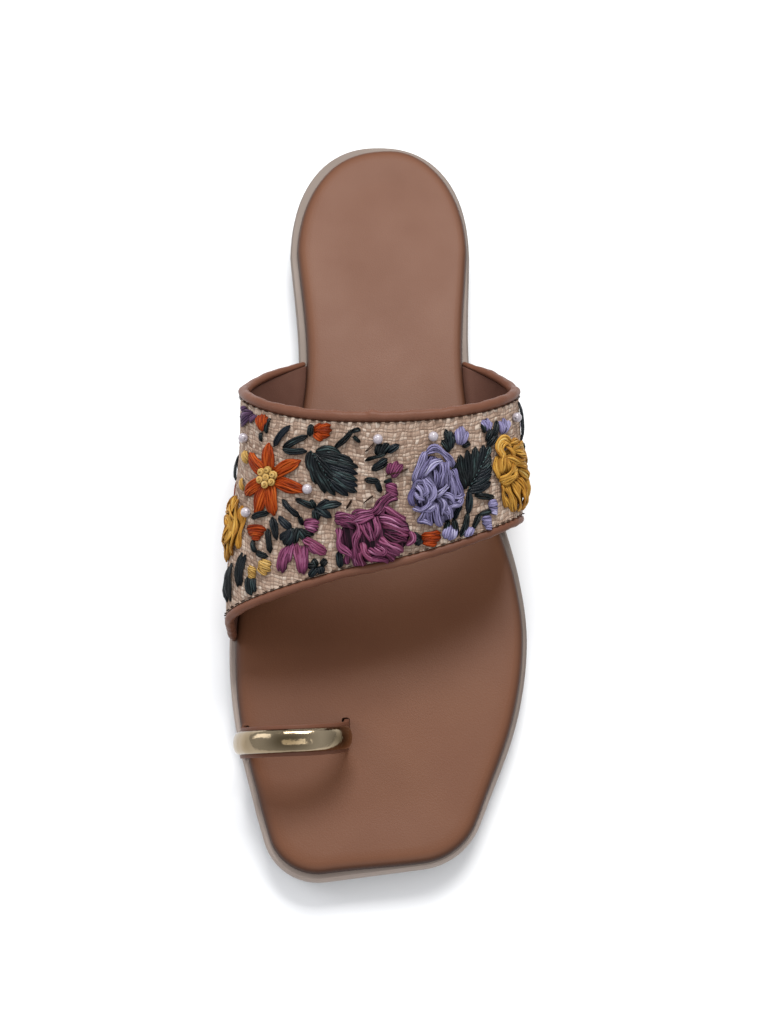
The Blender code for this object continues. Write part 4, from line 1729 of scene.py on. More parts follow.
MAUVE_STRIPS = (
    (-9.8, 7.2, -6.4, 6.2, -3.2, 4.8, 0.4, 2.3, 0.6), (-10.0, 5.6, -7.0, 5.2, -4.0, 4.0, 0.3, 2.1, 0.45),
    (-6.4, 5.0, -2.6, 4.9, 0.8, 6.4, 0.6, 2.7, 0.66), (-5.2, 6.4, -2.0, 6.8, 1.0, 7.4, 0.4, 2.1, 0.5),
    (0.2, 6.2, 3.6, 9.0, 7.2, 11.4, 0.4, 2.6, 0.45), (1.6, 5.8, 4.4, 8.0, 7.8, 9.8, 0.3, 2.2, 0.6),
    (3.6, 8.0, 6.2, 5.6, 8.8, 2.6, 0.6, 2.1, 0.64), (2.2, 5.4, 5.6, 3.4, 9.4, 1.4, 0.6, 2.2, 0.58),
    (2.4, 4.2, 5.8, 1.8, 9.4, 0.0, 0.5, 2.0, 0.48), (2.6, 2.8, 5.8, 0.6, 9.2, -1.6, 0.4, 2.0, 0.6),
    (-9.4, 3.8, -9.6, -0.4, -7.6, -3.6, -6.0, -5.6, 0.6, 2.2, 0.6),
    (-8.6, 4.6, -6.4, 4.4, -5.2, 2.8, 0.5, 2.0, 0.55),
    (-4.4, 4.8, -4.2, 2.0, -5.4, -1.8, -6.2, -5.6, 0.9, 2.3, 0.66),
    (-3.0, 4.4, -2.2, 1.6, -1.2, -0.8, 0.5, 2.2, 0.45), (-1.6, 4.4, -1.2, 1.8, -0.8, -1.0, 0.6, 2.3, 0.58),
    (1.4, 5.2, 1.0, 2.2, -0.2, -0.8, 0.8, 2.2, 0.68), (1.4, -0.8, 4.0, -3.4, 6.8, -5.8, 0.9, 2.2, 0.72),
    # The next two strips are dark: painted shade in the hollow to the right of the centre.
    (2.6, 0.2, 5.6, -1.8, 8.4, -3.4, 0.0, 2.2, 0.16), (3.2, 1.2, 6.2, -0.8, 8.6, -2.4, 0.0, 2.0, 0.2),
    (0.4, -1.6, 3.0, -4.4, 5.6, -6.8, 0.5, 2.2, 0.56), (-0.6, -2.8, 2.0, -5.6, 4.2, -7.4, 0.4, 2.0, 0.45),
    (9.6, -0.6, 9.8, -3.0, 8.2, -4.6, 0.4, 2.0, 0.7), (-3.6, -1.2, -3.4, -4.0, -1.2, -6.4, 0.5, 2.2, 0.62),
    (-2.4, -3.2, -0.2, -5.0, 1.8, -4.6, 0.4, -2.4, 0.7, 1.8, 0.68),
    (-2.2, -5.4, 0.2, -6.8, 2.6, -7.6, 0.3, 2.0, 0.5), (-5.4, -2.2, -6.0, -4.8, -6.2, -7.2, 0.3, 2.3, 0.52),
    (-4.4, -2.8, -4.6, -5.2, -4.6, -7.4, 0.4, 2.1, 0.4),
    (-7.8, -2.4, -8.2, -4.4, -8.2, -6.2, 0.2, 2.0, 0.45),
)
YELLOW_STRIPS = (
    (-5.4, -1.6, -5.6, -5.4, -4.8, -9.2, 0.4, 2.6, 0.55),
    (-3.2, -0.8, -3.2, -5.2, -2.6, -9.8, 0.5, 2.6, 0.66),
    (-0.8, -0.6, -0.4, -5.0, -0.2, -9.8, 0.4, 2.6, 0.5), (1.6, -0.8, 2.2, -5.0, 2.2, -9.6, 0.5, 2.6, 0.62),
    (4.0, -0.4, 4.8, -4.4, 4.6, -8.8, 0.4, 2.6, 0.5), (6.2, 0.6, 7.0, -3.2, 6.6, -7.0, 0.3, 2.4, 0.6),
    (-2.2, 7.6, -4.6, 5.2, -5.6, 2.4, 0.4, 2.6, 0.5), (-3.0, 6.8, -3.4, 4.4, -3.0, 2.0, 0.4, 2.2, 0.42),
    (0.4, 7.6, 4.0, 7.4, 6.6, 5.2, 6.8, 2.0, 0.6, 2.8, 0.62), (0.8, 6.4, 3.8, 5.4, 5.8, 2.4, 0.5, 2.6, 0.5),
    (6.6, 3.0, 7.2, 0.2, 6.8, -2.8, 0.3, 2.4, 0.5),
    (-3.6, 5.4, -3.4, 8.6, -1.4, 10.0, 0.6, 8.0, 0.8, 2.0, 0.66),
    (-1.6, 9.4, -0.8, 7.4, -0.6, 5.4, 0.8, 1.8, 0.5), (-6.8, 0.2, -4.0, 1.6, -0.6, 3.2, 0.8, 2.6, 0.66),
    (-6.4, -1.0, -3.8, 0.2, -1.0, 1.6, 0.6, 2.3, 0.48), (-2.8, 5.8, 0.2, 3.8, 3.6, 1.6, 0.9, 2.6, 0.68),
    (-1.2, 4.6, 1.8, 2.2, 4.6, 0.4, 0.7, 2.3, 0.52), (0.2, 1.6, 1.8, -0.6, 3.4, -2.4, 0.7, 2.1, 0.6),
    (0.6, 0.4, 3.0, -0.8, 5.4, -0.6, 0.6, 2.0, 0.5), (-6.6, -0.8, -7.3, -3.8, -6.4, -7.2, 0.3, 2.5, 0.6),
    (-4.2, 7.2, -6.2, 4.4, -7.0, 1.4, 0.4, 2.5, 0.56),
    (-4.4, 6.0, -3.8, 9.8, -1.2, 11.4, 1.4, 9.2, 0.6, 2.2, 0.64),
    (0.6, 9.2, 3.4, 9.0, 5.6, 7.0, 0.4, 2.4, 0.56),
)
BLOOM_STRIPS = (
    (-5.4, -6.8, -6.4, 0.0, -5.0, 6.8, 0.1, 2.8, 0.55), (-3.4, -8.4, -4.2, 0.0, -3.2, 8.2, 0.2, 3.0, 0.62),
    (-1.2, -9.4, -1.6, 0.0, -1.2, 9.2, 0.3, 3.0, 0.58), (1.2, -9.4, 1.4, 0.0, 1.0, 9.4, 0.3, 3.0, 0.66),
    (3.4, -8.4, 4.0, 0.0, 3.0, 8.4, 0.2, 3.0, 0.6), (5.4, -6.6, 6.2, 0.0, 5.0, 6.6, 0.1, 2.8, 0.56),
    (-3.2, 1.6, -1.4, 4.8, 1.8, 4.6, 3.4, 1.4, 0.6, 2.4, 0.66),
    (3.2, 0.6, 2.6, -3.4, -0.6, -4.4, -3.0, -2.2, 0.6, 2.4, 0.6),
    (-2.6, -1.0, -1.6, 1.8, 1.0, 2.4, 1.8, 0.2, 0.8, 2.2, 0.7),
    (1.4, 0.6, 0.8, -1.6, -1.0, -1.4, 0.9, 2.0, 0.56),
)
ROSES = (
    Rose("lavender_rose", "lavender", (0.16, 0.45), (7.3, 11.5), 4.0, LAVENDER_STRIPS, 0.84),
    Rose("mauve_rose", "mauve", (0.018, 0.19), (11.8, 8.4), 3.8, MAUVE_STRIPS, 0.9),
    Rose("yellow_rose", "yellow", (0.49, 0.36), (7.6, 9.8), 2.8, YELLOW_STRIPS),
    Rose("yellow_bloom", "yellow", (-0.56, 0.38), (6.5, 9.5), 1.4, BLOOM_STRIPS),
)


@dataclass(frozen=True)
class Daisy:
    """The open flower: pointed petals of straight strips round a heart of knots."""

    centre: Point = (-0.303, 0.64)
    tips: tuple[Point, ...] = (
        (-0.6, 10.0), (9.2, 5.8), (11.2, -4.2), (2.4, -11.2), (-3.0, -10.9), (-7.5, -5.2), (-7.3, 6.0),
    )
    base: float = 1.8
    spread: float = 1.2
    strips: int = 4
    samples: int = 9
    width: float = 1.4
    base_share: float = 0.75
    bow_share: float = 0.55
    tip_share: float = 0.35
    tip_setback: float = 0.9
    strip_foot: float = 0.1
    strip_rise: float = 0.9
    rise_power: float = 0.8
    middle_rise: float = 1.25
    side_drop: float = 0.5
    shade: float = 0.55
    shade_change: float = 0.16
    cast: Point = (0.1, 0.25)
    strands: int = 2
    crumple: float = 0.3
    heart: Point = (2.6, 2.6)
    heart_height: float = 1.4
    # The heart's mound is dark: painted shade that shows between the knots.
    heart_shade: float = 0.2
    knots: int = 7
    knot_ring: float = 2.0
    knot_start: float = 0.4
    knot_size: float = 0.8
    knot_lift: float = 1.2
    knot_rise: float = 0.9
    knot_points: int = 17
    knot_turns: float = 1.9
    knot_core: float = 0.15
    knot_power: float = 1.6
    knot_width: float = 1.25
    knot_shade: float = 0.6

    def build(self, palette: Palette, ground: Ground, seed: int) -> None:
        """Lays and dresses the petals and the knots.

        Args:
            palette: The finishes.
            ground: The band to lay on.
            seed: The seed of its small differences.
        """
        petals = Needle(ground, seed)
        for tip in self.tips:
            self.add_petal(petals, np.array(tip))
        fit(petals.piece("daisy_petals"), [palette["orange_strand"]], ["orange_daisy"])
        heart = Needle(ground, seed + 1)
        # A dark mound under the knots: painted shade in the gaps between them.
        heart.mound(self.centre, self.heart, self.heart_height, self.heart_shade)
        for k in range(self.knots):
            angle = math.tau * k / (self.knots - 1.0) + self.knot_start
            reach = 0.0 if k == self.knots - 1 else self.knot_ring
            self.add_knot(heart, reach * np.array((math.cos(angle), math.sin(angle))))
        fit(heart.piece("daisy_knots"), [palette["knot_strand"]])

    def add_petal(self, needle: Needle, tip: Array) -> None:
        """Lays one petal.

        Args:
            needle: Where it is gathered.
            tip: Millimetres from the flower's middle to the petal's tip.
        """
        share = np.linspace(0.0, 1.0, self.samples)
        way = unit(tip)
        aside = np.array((-way[1], way[0]))
        for k in range(self.strips):
            off = (k / (self.strips - 1.0) - 0.5) * 2.0 * self.spread
            start = way * self.base + aside * off * self.base_share
            swell = bow(share)[:, None] * aside * off * self.bow_share
            finish = tip - way * abs(off) * self.tip_setback + aside * off * self.tip_share
            turn, across = needle.ground.around(self.centre, mix(start, finish, share[:, None]) + swell)
            height = self.strip_rise * (self.middle_rise - abs(off) / self.spread * self.side_drop)
            lift = self.strip_foot + height * bow(share, self.rise_power)
            shade = needle.about(self.shade, self.shade_change)
            cast = needle.chance_cast(*self.cast)
            needle.lay(
                turn, across, lift, self.width, shade, cast, strands=self.strands, crumple=self.crumple
            )

    def add_knot(self, needle: Needle, spot: Array) -> None:
        """Lays a knot: a strand wound twice round on itself.

        Args:
            needle: Where it is gathered.
            spot: Millimetres from the flower's middle to the knot.
        """
        share = np.linspace(0.0, 1.0, self.knot_points)
        angle = share * math.tau * self.knot_turns + needle.random.uniform(0.0, math.tau)
        reach = self.knot_size * mix(1.0, self.knot_core, share**self.knot_power)
        line = spot + reach[:, None] * np.stack((np.cos(angle), np.sin(angle)), axis=-1)
        turn, across = needle.ground.around(self.centre, line)
        lift = self.knot_lift + share * self.knot_rise
        needle.lay(turn, across, lift, self.knot_size * self.knot_width, self.knot_shade)


@dataclass(frozen=True)
class Leaf:
    """A broad leaf of satin stitches fanning from its vein.

    A strip's row has the millimetres round and across of each spot that it passes, then its width, its shade
    and how far it leans to the second colour; the lightest shades are painted highlights on the glossy
    strands.
    """

    node: str
    centre: Point
    strips: Rows
    vein: tuple[Point, ...]
    lift: float = 0.5
    strip_foot: float = 0.1
    bow_power: float = 0.7
    samples: int = 9
    strands: int = 3
    crumple: float = 0.3
    dashes: int = 10
    dash_points: int = 3
    dash_width: float = 0.5
    dash_rise: float = 0.35
    dash_shade: float = 1.0

    def build(self, palette: Palette, ground: Ground, seed: int) -> None:
        """Lays and dresses the leaf.

        Args:
            palette: The finishes.
            ground: The band to lay on.
            seed: The seed of its small differences.
        """
        needle = Needle(ground, seed)
        lift = self.strip_foot + self.lift * bow(np.linspace(0.0, 1.0, self.samples), self.bow_power)
        for *spots, width, shade, cast in self.strips:
            line = smooth_line(np.reshape(spots, (-1, 2)), self.samples)
            place = ground.around(self.centre, line)
            needle.lay(
                *place, lift, width, shade, cast, Ends.POINTED, strands=self.strands, crumple=self.crumple
            )
        pitch = self.dash_points + 1
        vein = smooth_line(self.vein, self.dashes * pitch).reshape(self.dashes, pitch, 2)
        lift = np.full(self.dash_points, self.lift + self.dash_rise)
        for dash in vein[:, : self.dash_points]:
            needle.lay(*ground.around(self.centre, dash), lift, self.dash_width, self.dash_shade)
        fit(needle.piece(f"{self.node}_strips"), [palette["leaf_strand"]], [self.node])


LEAVES = (
    Leaf(
        "inner_leaf",
        (-0.077, 0.665),
        (
            (-5.6, 6.0, -6.2, 3.2, -5.9, 0.4, 2.2, 0.34, 0.0),
            (-5.5, 5.6, -5.4, 1.6, -4.4, -2.8, 2.3, 0.6, 0.1),
            (-5.4, 5.2, -4.4, 0.2, -2.2, -5.4, 2.3, 0.36, 0.0),
            (-5.0, 4.8, -3.0, -0.6, 0.2, -6.4, 2.4, 0.66, 0.0),
            (-4.8, 5.4, -1.8, 1.4, 2.2, -3.2, 2.2, 0.34, 0.1),
            (-4.2, 6.0, -0.6, 6.3, 2.6, 5.2, 2.2, 0.72, 0.0),
            (-4.4, 5.4, 0.8, 4.6, 5.8, 2.8, 2.2, 0.4, 0.1), (-4.0, 4.4, 1.2, 3.0, 7.0, 1.2, 2.1, 0.8, 0.0),
            (-3.2, 3.2, 1.6, 1.2, 6.8, -0.8, 2.3, 0.36, 0.4),
            (-2.4, 2.0, 2.0, -0.6, 6.6, -2.6, 2.0, 0.74, 0.1),
            (-2.2, 1.2, 2.0, -1.8, 6.4, -4.4, 2.2, 0.4, 0.5),
            (-2.2, 0.2, 1.6, -2.8, 6.0, -6.2, 2.2, 0.66, 0.2),
            (-1.6, -0.8, 0.8, -3.8, 3.6, -7.0, 2.3, 0.42, 0.3),
        ),
        ((-5.6, 6.0), (-3.8, 3.4), (-2.2, 0.4), (-0.4, -4.2)),
    ),
    Leaf(
        "outer_leaf",
        (0.29, 0.542),
        (
            (-4.8, -4.6, -5.6, -0.6, -5.6, 3.4, 2.4, 0.34, 0.0),
            (-4.4, -4.6, -4.2, 0.2, -3.6, 4.8, 2.4, 0.56, 0.0),
            (-3.6, -4.0, -2.2, 1.0, -1.2, 5.6, 2.4, 0.36, 0.1),
            (-2.4, -3.0, -0.4, 1.6, 1.4, 5.9, 2.3, 0.72, 0.0),
            (-0.8, -1.8, 1.6, 1.8, 3.8, 5.8, 2.4, 0.4, 0.2), (1.0, 0.0, 3.4, 2.6, 5.8, 5.4, 2.2, 0.76, 0.0),
            (-4.2, -5.2, -0.8, -5.6, 3.0, -4.8, 2.4, 0.36, 0.3),
            (-3.2, -4.2, 0.4, -3.8, 3.8, -2.6, 2.4, 0.66, 0.3),
            (-1.8, -2.8, 1.8, -1.8, 4.4, -0.4, 2.4, 0.38, 0.4),
            (0.0, -1.2, 3.0, 0.4, 5.0, 2.2, 2.2, 0.72, 0.1),
        ),
        ((-4.0, -4.8), (-0.8, -1.6), (2.2, 1.6), (5.4, 5.0)),
    ),
)


class Dye(Enum):
    """The colours of the small stitches, with their finish, their slot and how full each stitch lies."""

    LEAF = ("leaf_strand", "leaf", 0.92)
    ORANGE = ("orange_strand", "orange", 1.0)
    MAUVE = ("mauve_strand", "mauve", 1.0)
    LAVENDER = ("lavender_strand", "lavender", 1.0)
    YELLOW = ("knot_strand", "yellow", 1.0)
    PLUM = ("plum_strand", "", 1.0)
    TWIG = ("thread_strand", "", 1.0)


STITCH_COLUMNS = ("turn", "across", "to turn", "to across", "width")
STITCHES = {
    Dye.LEAF: (
        (-0.31, 0.965, -0.33, 0.88, 1.6), (-0.355, 0.875, -0.35, 0.83, 1.4),
        (-0.225, 0.95, -0.29, 0.815, 2.2), (-0.25, 0.815, -0.16, 0.9, 2.2),
        (-0.25, 0.8, -0.16, 0.8, 2.1), (-0.15, 0.97, -0.15, 0.9, 2.1),
        (-0.075, 0.815, -0.025, 0.95, 1.8), (-0.025, 0.9, -0.01, 0.865, 1.4),
        (-0.03, 0.935, -0.01, 0.95, 1.5), (0.02, 0.765, 0.025, 0.85, 2.3), (0.025, 0.765, 0.04, 0.85, 2.3),
        (0.04, 0.785, 0.065, 0.835, 2.1), (0.0, 0.73, 0.04, 0.785, 1.3), (0.01, 0.665, 0.04, 0.715, 2.2),
        (0.01, 0.68, 0.04, 0.735, 2.0), (0.0, 0.6, 0.025, 0.585, 1.9), (0.018, 0.6, 0.028, 0.5, 1.8),
        (0.035, 0.57, 0.05, 0.585, 1.4), (-0.24, 0.515, -0.175, 0.4, 2.0),
        (-0.175, 0.4, -0.16, 0.35, 1.7), (-0.19, 0.515, -0.125, 0.45, 2.0),
        (-0.125, 0.445, -0.05, 0.455, 2.4), (-0.125, 0.445, -0.075, 0.37, 2.4),
        (-0.125, 0.45, -0.14, 0.5, 2.0), (-0.125, 0.44, -0.115, 0.365, 2.5),
        (-0.115, 0.44, -0.085, 0.485, 2.2), (-0.375, 0.42, -0.29, 0.45, 2.0),
        (-0.275, 0.42, -0.25, 0.285, 2.4), (-0.25, 0.42, -0.2, 0.335, 2.4),
        (-0.29, 0.355, -0.275, 0.215, 2.1), (-0.19, 0.335, -0.225, 0.25, 2.7),
        (-0.19, 0.335, -0.21, 0.235, 2.7), (-0.18, 0.335, -0.185, 0.245, 2.7),
        (-0.175, 0.33, -0.15, 0.255, 2.6), (-0.175, 0.325, -0.125, 0.27, 2.0),
        (-0.19, 0.325, -0.24, 0.285, 2.5), (-0.11, 0.055, -0.135, 0.01, 2.3),
        (-0.102, 0.055, -0.098, 0.01, 2.3), (-0.112, 0.065, -0.125, 0.115, 2.1),
        (-0.1, 0.065, -0.085, 0.09, 2.1), (-0.112, 0.065, -0.14, 0.08, 2.0),
        (-0.05, 0.13, -0.05, 0.015, 2.3), (-0.365, 0.305, -0.34, 0.235, 2.0),
        (-0.34, 0.235, -0.285, 0.2, 2.0), (-0.375, 0.12, -0.36, 0.015, 2.7),
        (-0.35, 0.105, -0.34, 0.025, 2.1), (-0.4, 0.235, -0.425, 0.085, 2.3),
        (-0.425, 0.25, -0.445, 0.085, 2.3), (-0.5, 0.21, -0.51, 0.035, 3.0),
        (-0.54, 0.2, -0.56, 0.045, 3.0), (0.2, 0.735, 0.175, 0.83, 2.1), (0.2, 0.735, 0.187, 0.915, 2.3),
        (0.2, 0.745, 0.202, 0.9, 2.3), (0.2, 0.765, 0.215, 0.855, 2.0), (0.24, 0.75, 0.262, 0.77, 1.6),
        (0.305, 0.9, 0.318, 0.825, 1.6), (0.34, 0.85, 0.325, 0.75, 1.8), (0.375, 0.89, 0.35, 0.755, 2.2),
        (0.375, 0.785, 0.33, 0.705, 2.0), (0.55, 0.965, 0.575, 0.62, 2.4), (0.263, 0.385, 0.263, 0.18, 2.2),
        (0.263, 0.2, 0.238, 0.02, 2.1), (0.285, 0.32, 0.363, 0.255, 2.0), (0.3, 0.15, 0.35, 0.15, 1.8),
        (0.3, 0.16, 0.275, 0.035, 1.8), (0.238, 0.285, 0.213, 0.18, 1.9),
        (0.213, 0.185, 0.225, 0.035, 2.0), (0.2, 0.185, 0.187, 0.1, 1.9), (0.125, 0.1, 0.1, 0.15, 2.2),
        (0.125, 0.1, 0.098, 0.115, 2.2), (0.125, 0.095, 0.11, 0.06, 2.2), (-0.66, 0.72, -0.6, 0.6, 2.0),
        (-0.66, 0.72, -0.72, 0.62, 2.0), (-0.7, 0.48, -0.66, 0.38, 2.0), (-0.74, 0.46, -0.8, 0.4, 2.0),
        (-0.72, 0.56, -0.73, 0.34, 1.3), (-0.8, 0.7, -0.86, 0.62, 1.9), (-0.8, 0.7, -0.84, 0.74, 1.9),
        (-0.7, 0.22, -0.76, 0.14, 2.0), (-0.8, 0.24, -0.84, 0.14, 2.0), (0.62, 0.6, 0.68, 0.5, 2.0),
        (0.64, 0.4, 0.7, 0.3, 2.0), (0.7, 0.62, 0.76, 0.56, 1.9), (0.68, 0.78, 0.74, 0.72, 2.0),
        (0.72, 0.46, 0.78, 0.44, 1.9), (0.7, 0.24, 0.76, 0.16, 1.9), (0.66, 0.52, 0.74, 0.36, 1.3),
        (0.8, 0.7, 0.86, 0.62, 1.9), (0.82, 0.36, 0.88, 0.3, 1.9),
    ),
    Dye.ORANGE: (
        (-0.35, 0.885, -0.372, 0.965, 2.2), (-0.35, 0.885, -0.352, 0.975, 2.3),
        (-0.35, 0.885, -0.327, 0.97, 2.2), (-0.35, 0.885, -0.338, 0.978, 2.2),
        (-0.138, 0.93, -0.088, 0.975, 2.2), (-0.138, 0.93, -0.084, 0.945, 2.3),
        (-0.138, 0.92, -0.09, 0.905, 2.3), (-0.137, 0.915, -0.11, 0.88, 2.1),
        (-0.138, 0.935, -0.112, 0.975, 2.1), (-0.4, 0.37, -0.3, 0.355, 2.3),
        (-0.39, 0.345, -0.31, 0.335, 2.3), (-0.365, 0.32, -0.325, 0.315, 1.9),
        (0.125, 0.115, 0.175, 0.1, 2.3), (0.125, 0.095, 0.177, 0.07, 2.4),
        (0.125, 0.07, 0.165, 0.035, 2.2), (-0.7, 0.5, -0.7, 0.6, 1.9), (-0.71, 0.5, -0.735, 0.6, 1.9),
        (0.76, 0.3, 0.8, 0.38, 1.9), (0.76, 0.3, 0.785, 0.4, 1.9),
    ),
    Dye.MAUVE: (
        (-0.16, 0.365, -0.11, 0.35, 2.2), (-0.155, 0.35, -0.112, 0.32, 2.2),
        (-0.15, 0.335, -0.115, 0.3, 2.0), (-0.215, 0.235, -0.242, 0.1, 2.2),
        (-0.203, 0.24, -0.228, 0.085, 2.3), (-0.19, 0.245, -0.213, 0.135, 2.2),
        (-0.178, 0.245, -0.163, 0.05, 2.2), (-0.163, 0.22, -0.152, 0.035, 2.3),
        (-0.152, 0.22, -0.147, 0.05, 2.2), (-0.16, 0.265, -0.085, 0.15, 2.4),
        (-0.15, 0.25, -0.088, 0.13, 2.3), (-0.14, 0.225, -0.11, 0.145, 2.0),
        (0.05, 0.615, 0.062, 0.715, 2.0), (0.05, 0.6, 0.075, 0.685, 2.0), (0.042, 0.63, 0.05, 0.7, 1.9),
        (0.038, 0.535, 0.064, 0.485, 2.2), (0.038, 0.55, 0.062, 0.515, 2.0),
        (0.04, 0.505, 0.064, 0.465, 2.1), (-0.82, 0.6, -0.8, 0.5, 2.0), (-0.83, 0.6, -0.84, 0.5, 2.0),
        (0.8, 0.56, 0.84, 0.48, 2.0), (0.8, 0.57, 0.86, 0.53, 2.0),
    ),
    Dye.LAVENDER: (
        (0.225, 0.78, 0.222, 0.9, 2.0), (0.235, 0.77, 0.238, 0.915, 2.1), (0.238, 0.77, 0.252, 0.87, 2.0),
        (0.232, 0.77, 0.23, 0.915, 2.0), (0.325, 0.835, 0.312, 0.93, 1.9), (0.325, 0.835, 0.328, 0.94, 1.9),
        (0.33, 0.83, 0.343, 0.905, 1.8), (0.395, 0.775, 0.385, 0.88, 2.0), (0.4, 0.77, 0.408, 0.895, 2.0),
        (0.405, 0.77, 0.438, 0.86, 1.9), (0.188, 0.05, 0.2, 0.15, 2.2), (0.2, 0.025, 0.212, 0.135, 2.2),
        (0.212, 0.025, 0.216, 0.115, 1.9), (0.25, 0.015, 0.262, 0.085, 2.2),
        (0.262, 0.015, 0.275, 0.07, 2.0), (0.312, 0.1, 0.35, 0.085, 2.2), (0.315, 0.07, 0.35, 0.05, 2.2),
        (0.325, 0.035, 0.35, 0.015, 1.9), (0.338, 0.215, 0.376, 0.195, 2.2),
        (0.34, 0.185, 0.376, 0.155, 2.2), (0.35, 0.15, 0.374, 0.12, 1.8), (-0.88, 0.36, -0.9, 0.46, 1.9),
        (-0.87, 0.36, -0.86, 0.46, 1.9), (0.72, 0.66, 0.7, 0.76, 1.9), (0.73, 0.66, 0.735, 0.77, 1.9),
    ),
    Dye.YELLOW: (
        (-0.325, 0.185, -0.275, 0.135, 1.8), (-0.325, 0.165, -0.272, 0.115, 1.8),
        (-0.325, 0.15, -0.287, 0.1, 1.7), (-0.312, 0.185, -0.27, 0.15, 1.7),
        (-0.375, 0.165, -0.338, 0.135, 1.7), (-0.375, 0.15, -0.338, 0.115, 1.7),
        (-0.372, 0.13, -0.34, 0.1, 1.6), (-0.47, 0.755, -0.435, 0.7, 2.0),
        (-0.455, 0.755, -0.42, 0.715, 1.9), (-0.465, 0.62, -0.45, 0.56, 2.0),
        (-0.78, 0.3, -0.74, 0.26, 1.4), (-0.78, 0.3, -0.82, 0.27, 1.4), (0.74, 0.2, 0.7, 0.17, 1.4),
        (0.74, 0.2, 0.78, 0.16, 1.4),
    ),
    Dye.PLUM: (
        (-0.525, 0.915, -0.412, 0.97, 2.2), (-0.43, 0.91, -0.388, 0.96, 2.2),
        (-0.512, 0.87, -0.425, 0.945, 2.2), (-0.525, 0.9, -0.44, 0.96, 2.0),
        (-0.5, 0.95, -0.463, 0.978, 1.9),
    ),
    Dye.TWIG: (
        (0.0, 0.8, 0.012, 0.85, 0.6), (0.038, 0.615, 0.088, 0.65, 0.6), (0.0, 0.435, 0.012, 0.485, 0.6),
        (-0.037, 0.415, -0.025, 0.465, 0.6),
    ),
}
PEARLS = (
    (-0.46, 0.82), (0.02, 0.88), (0.15, 0.87), (-0.15, 0.57), (-0.40, 0.45), (0.48, 0.86), (-0.76, 0.76),
    (-0.72, 0.30), (0.76, 0.72), (0.84, 0.44),
)


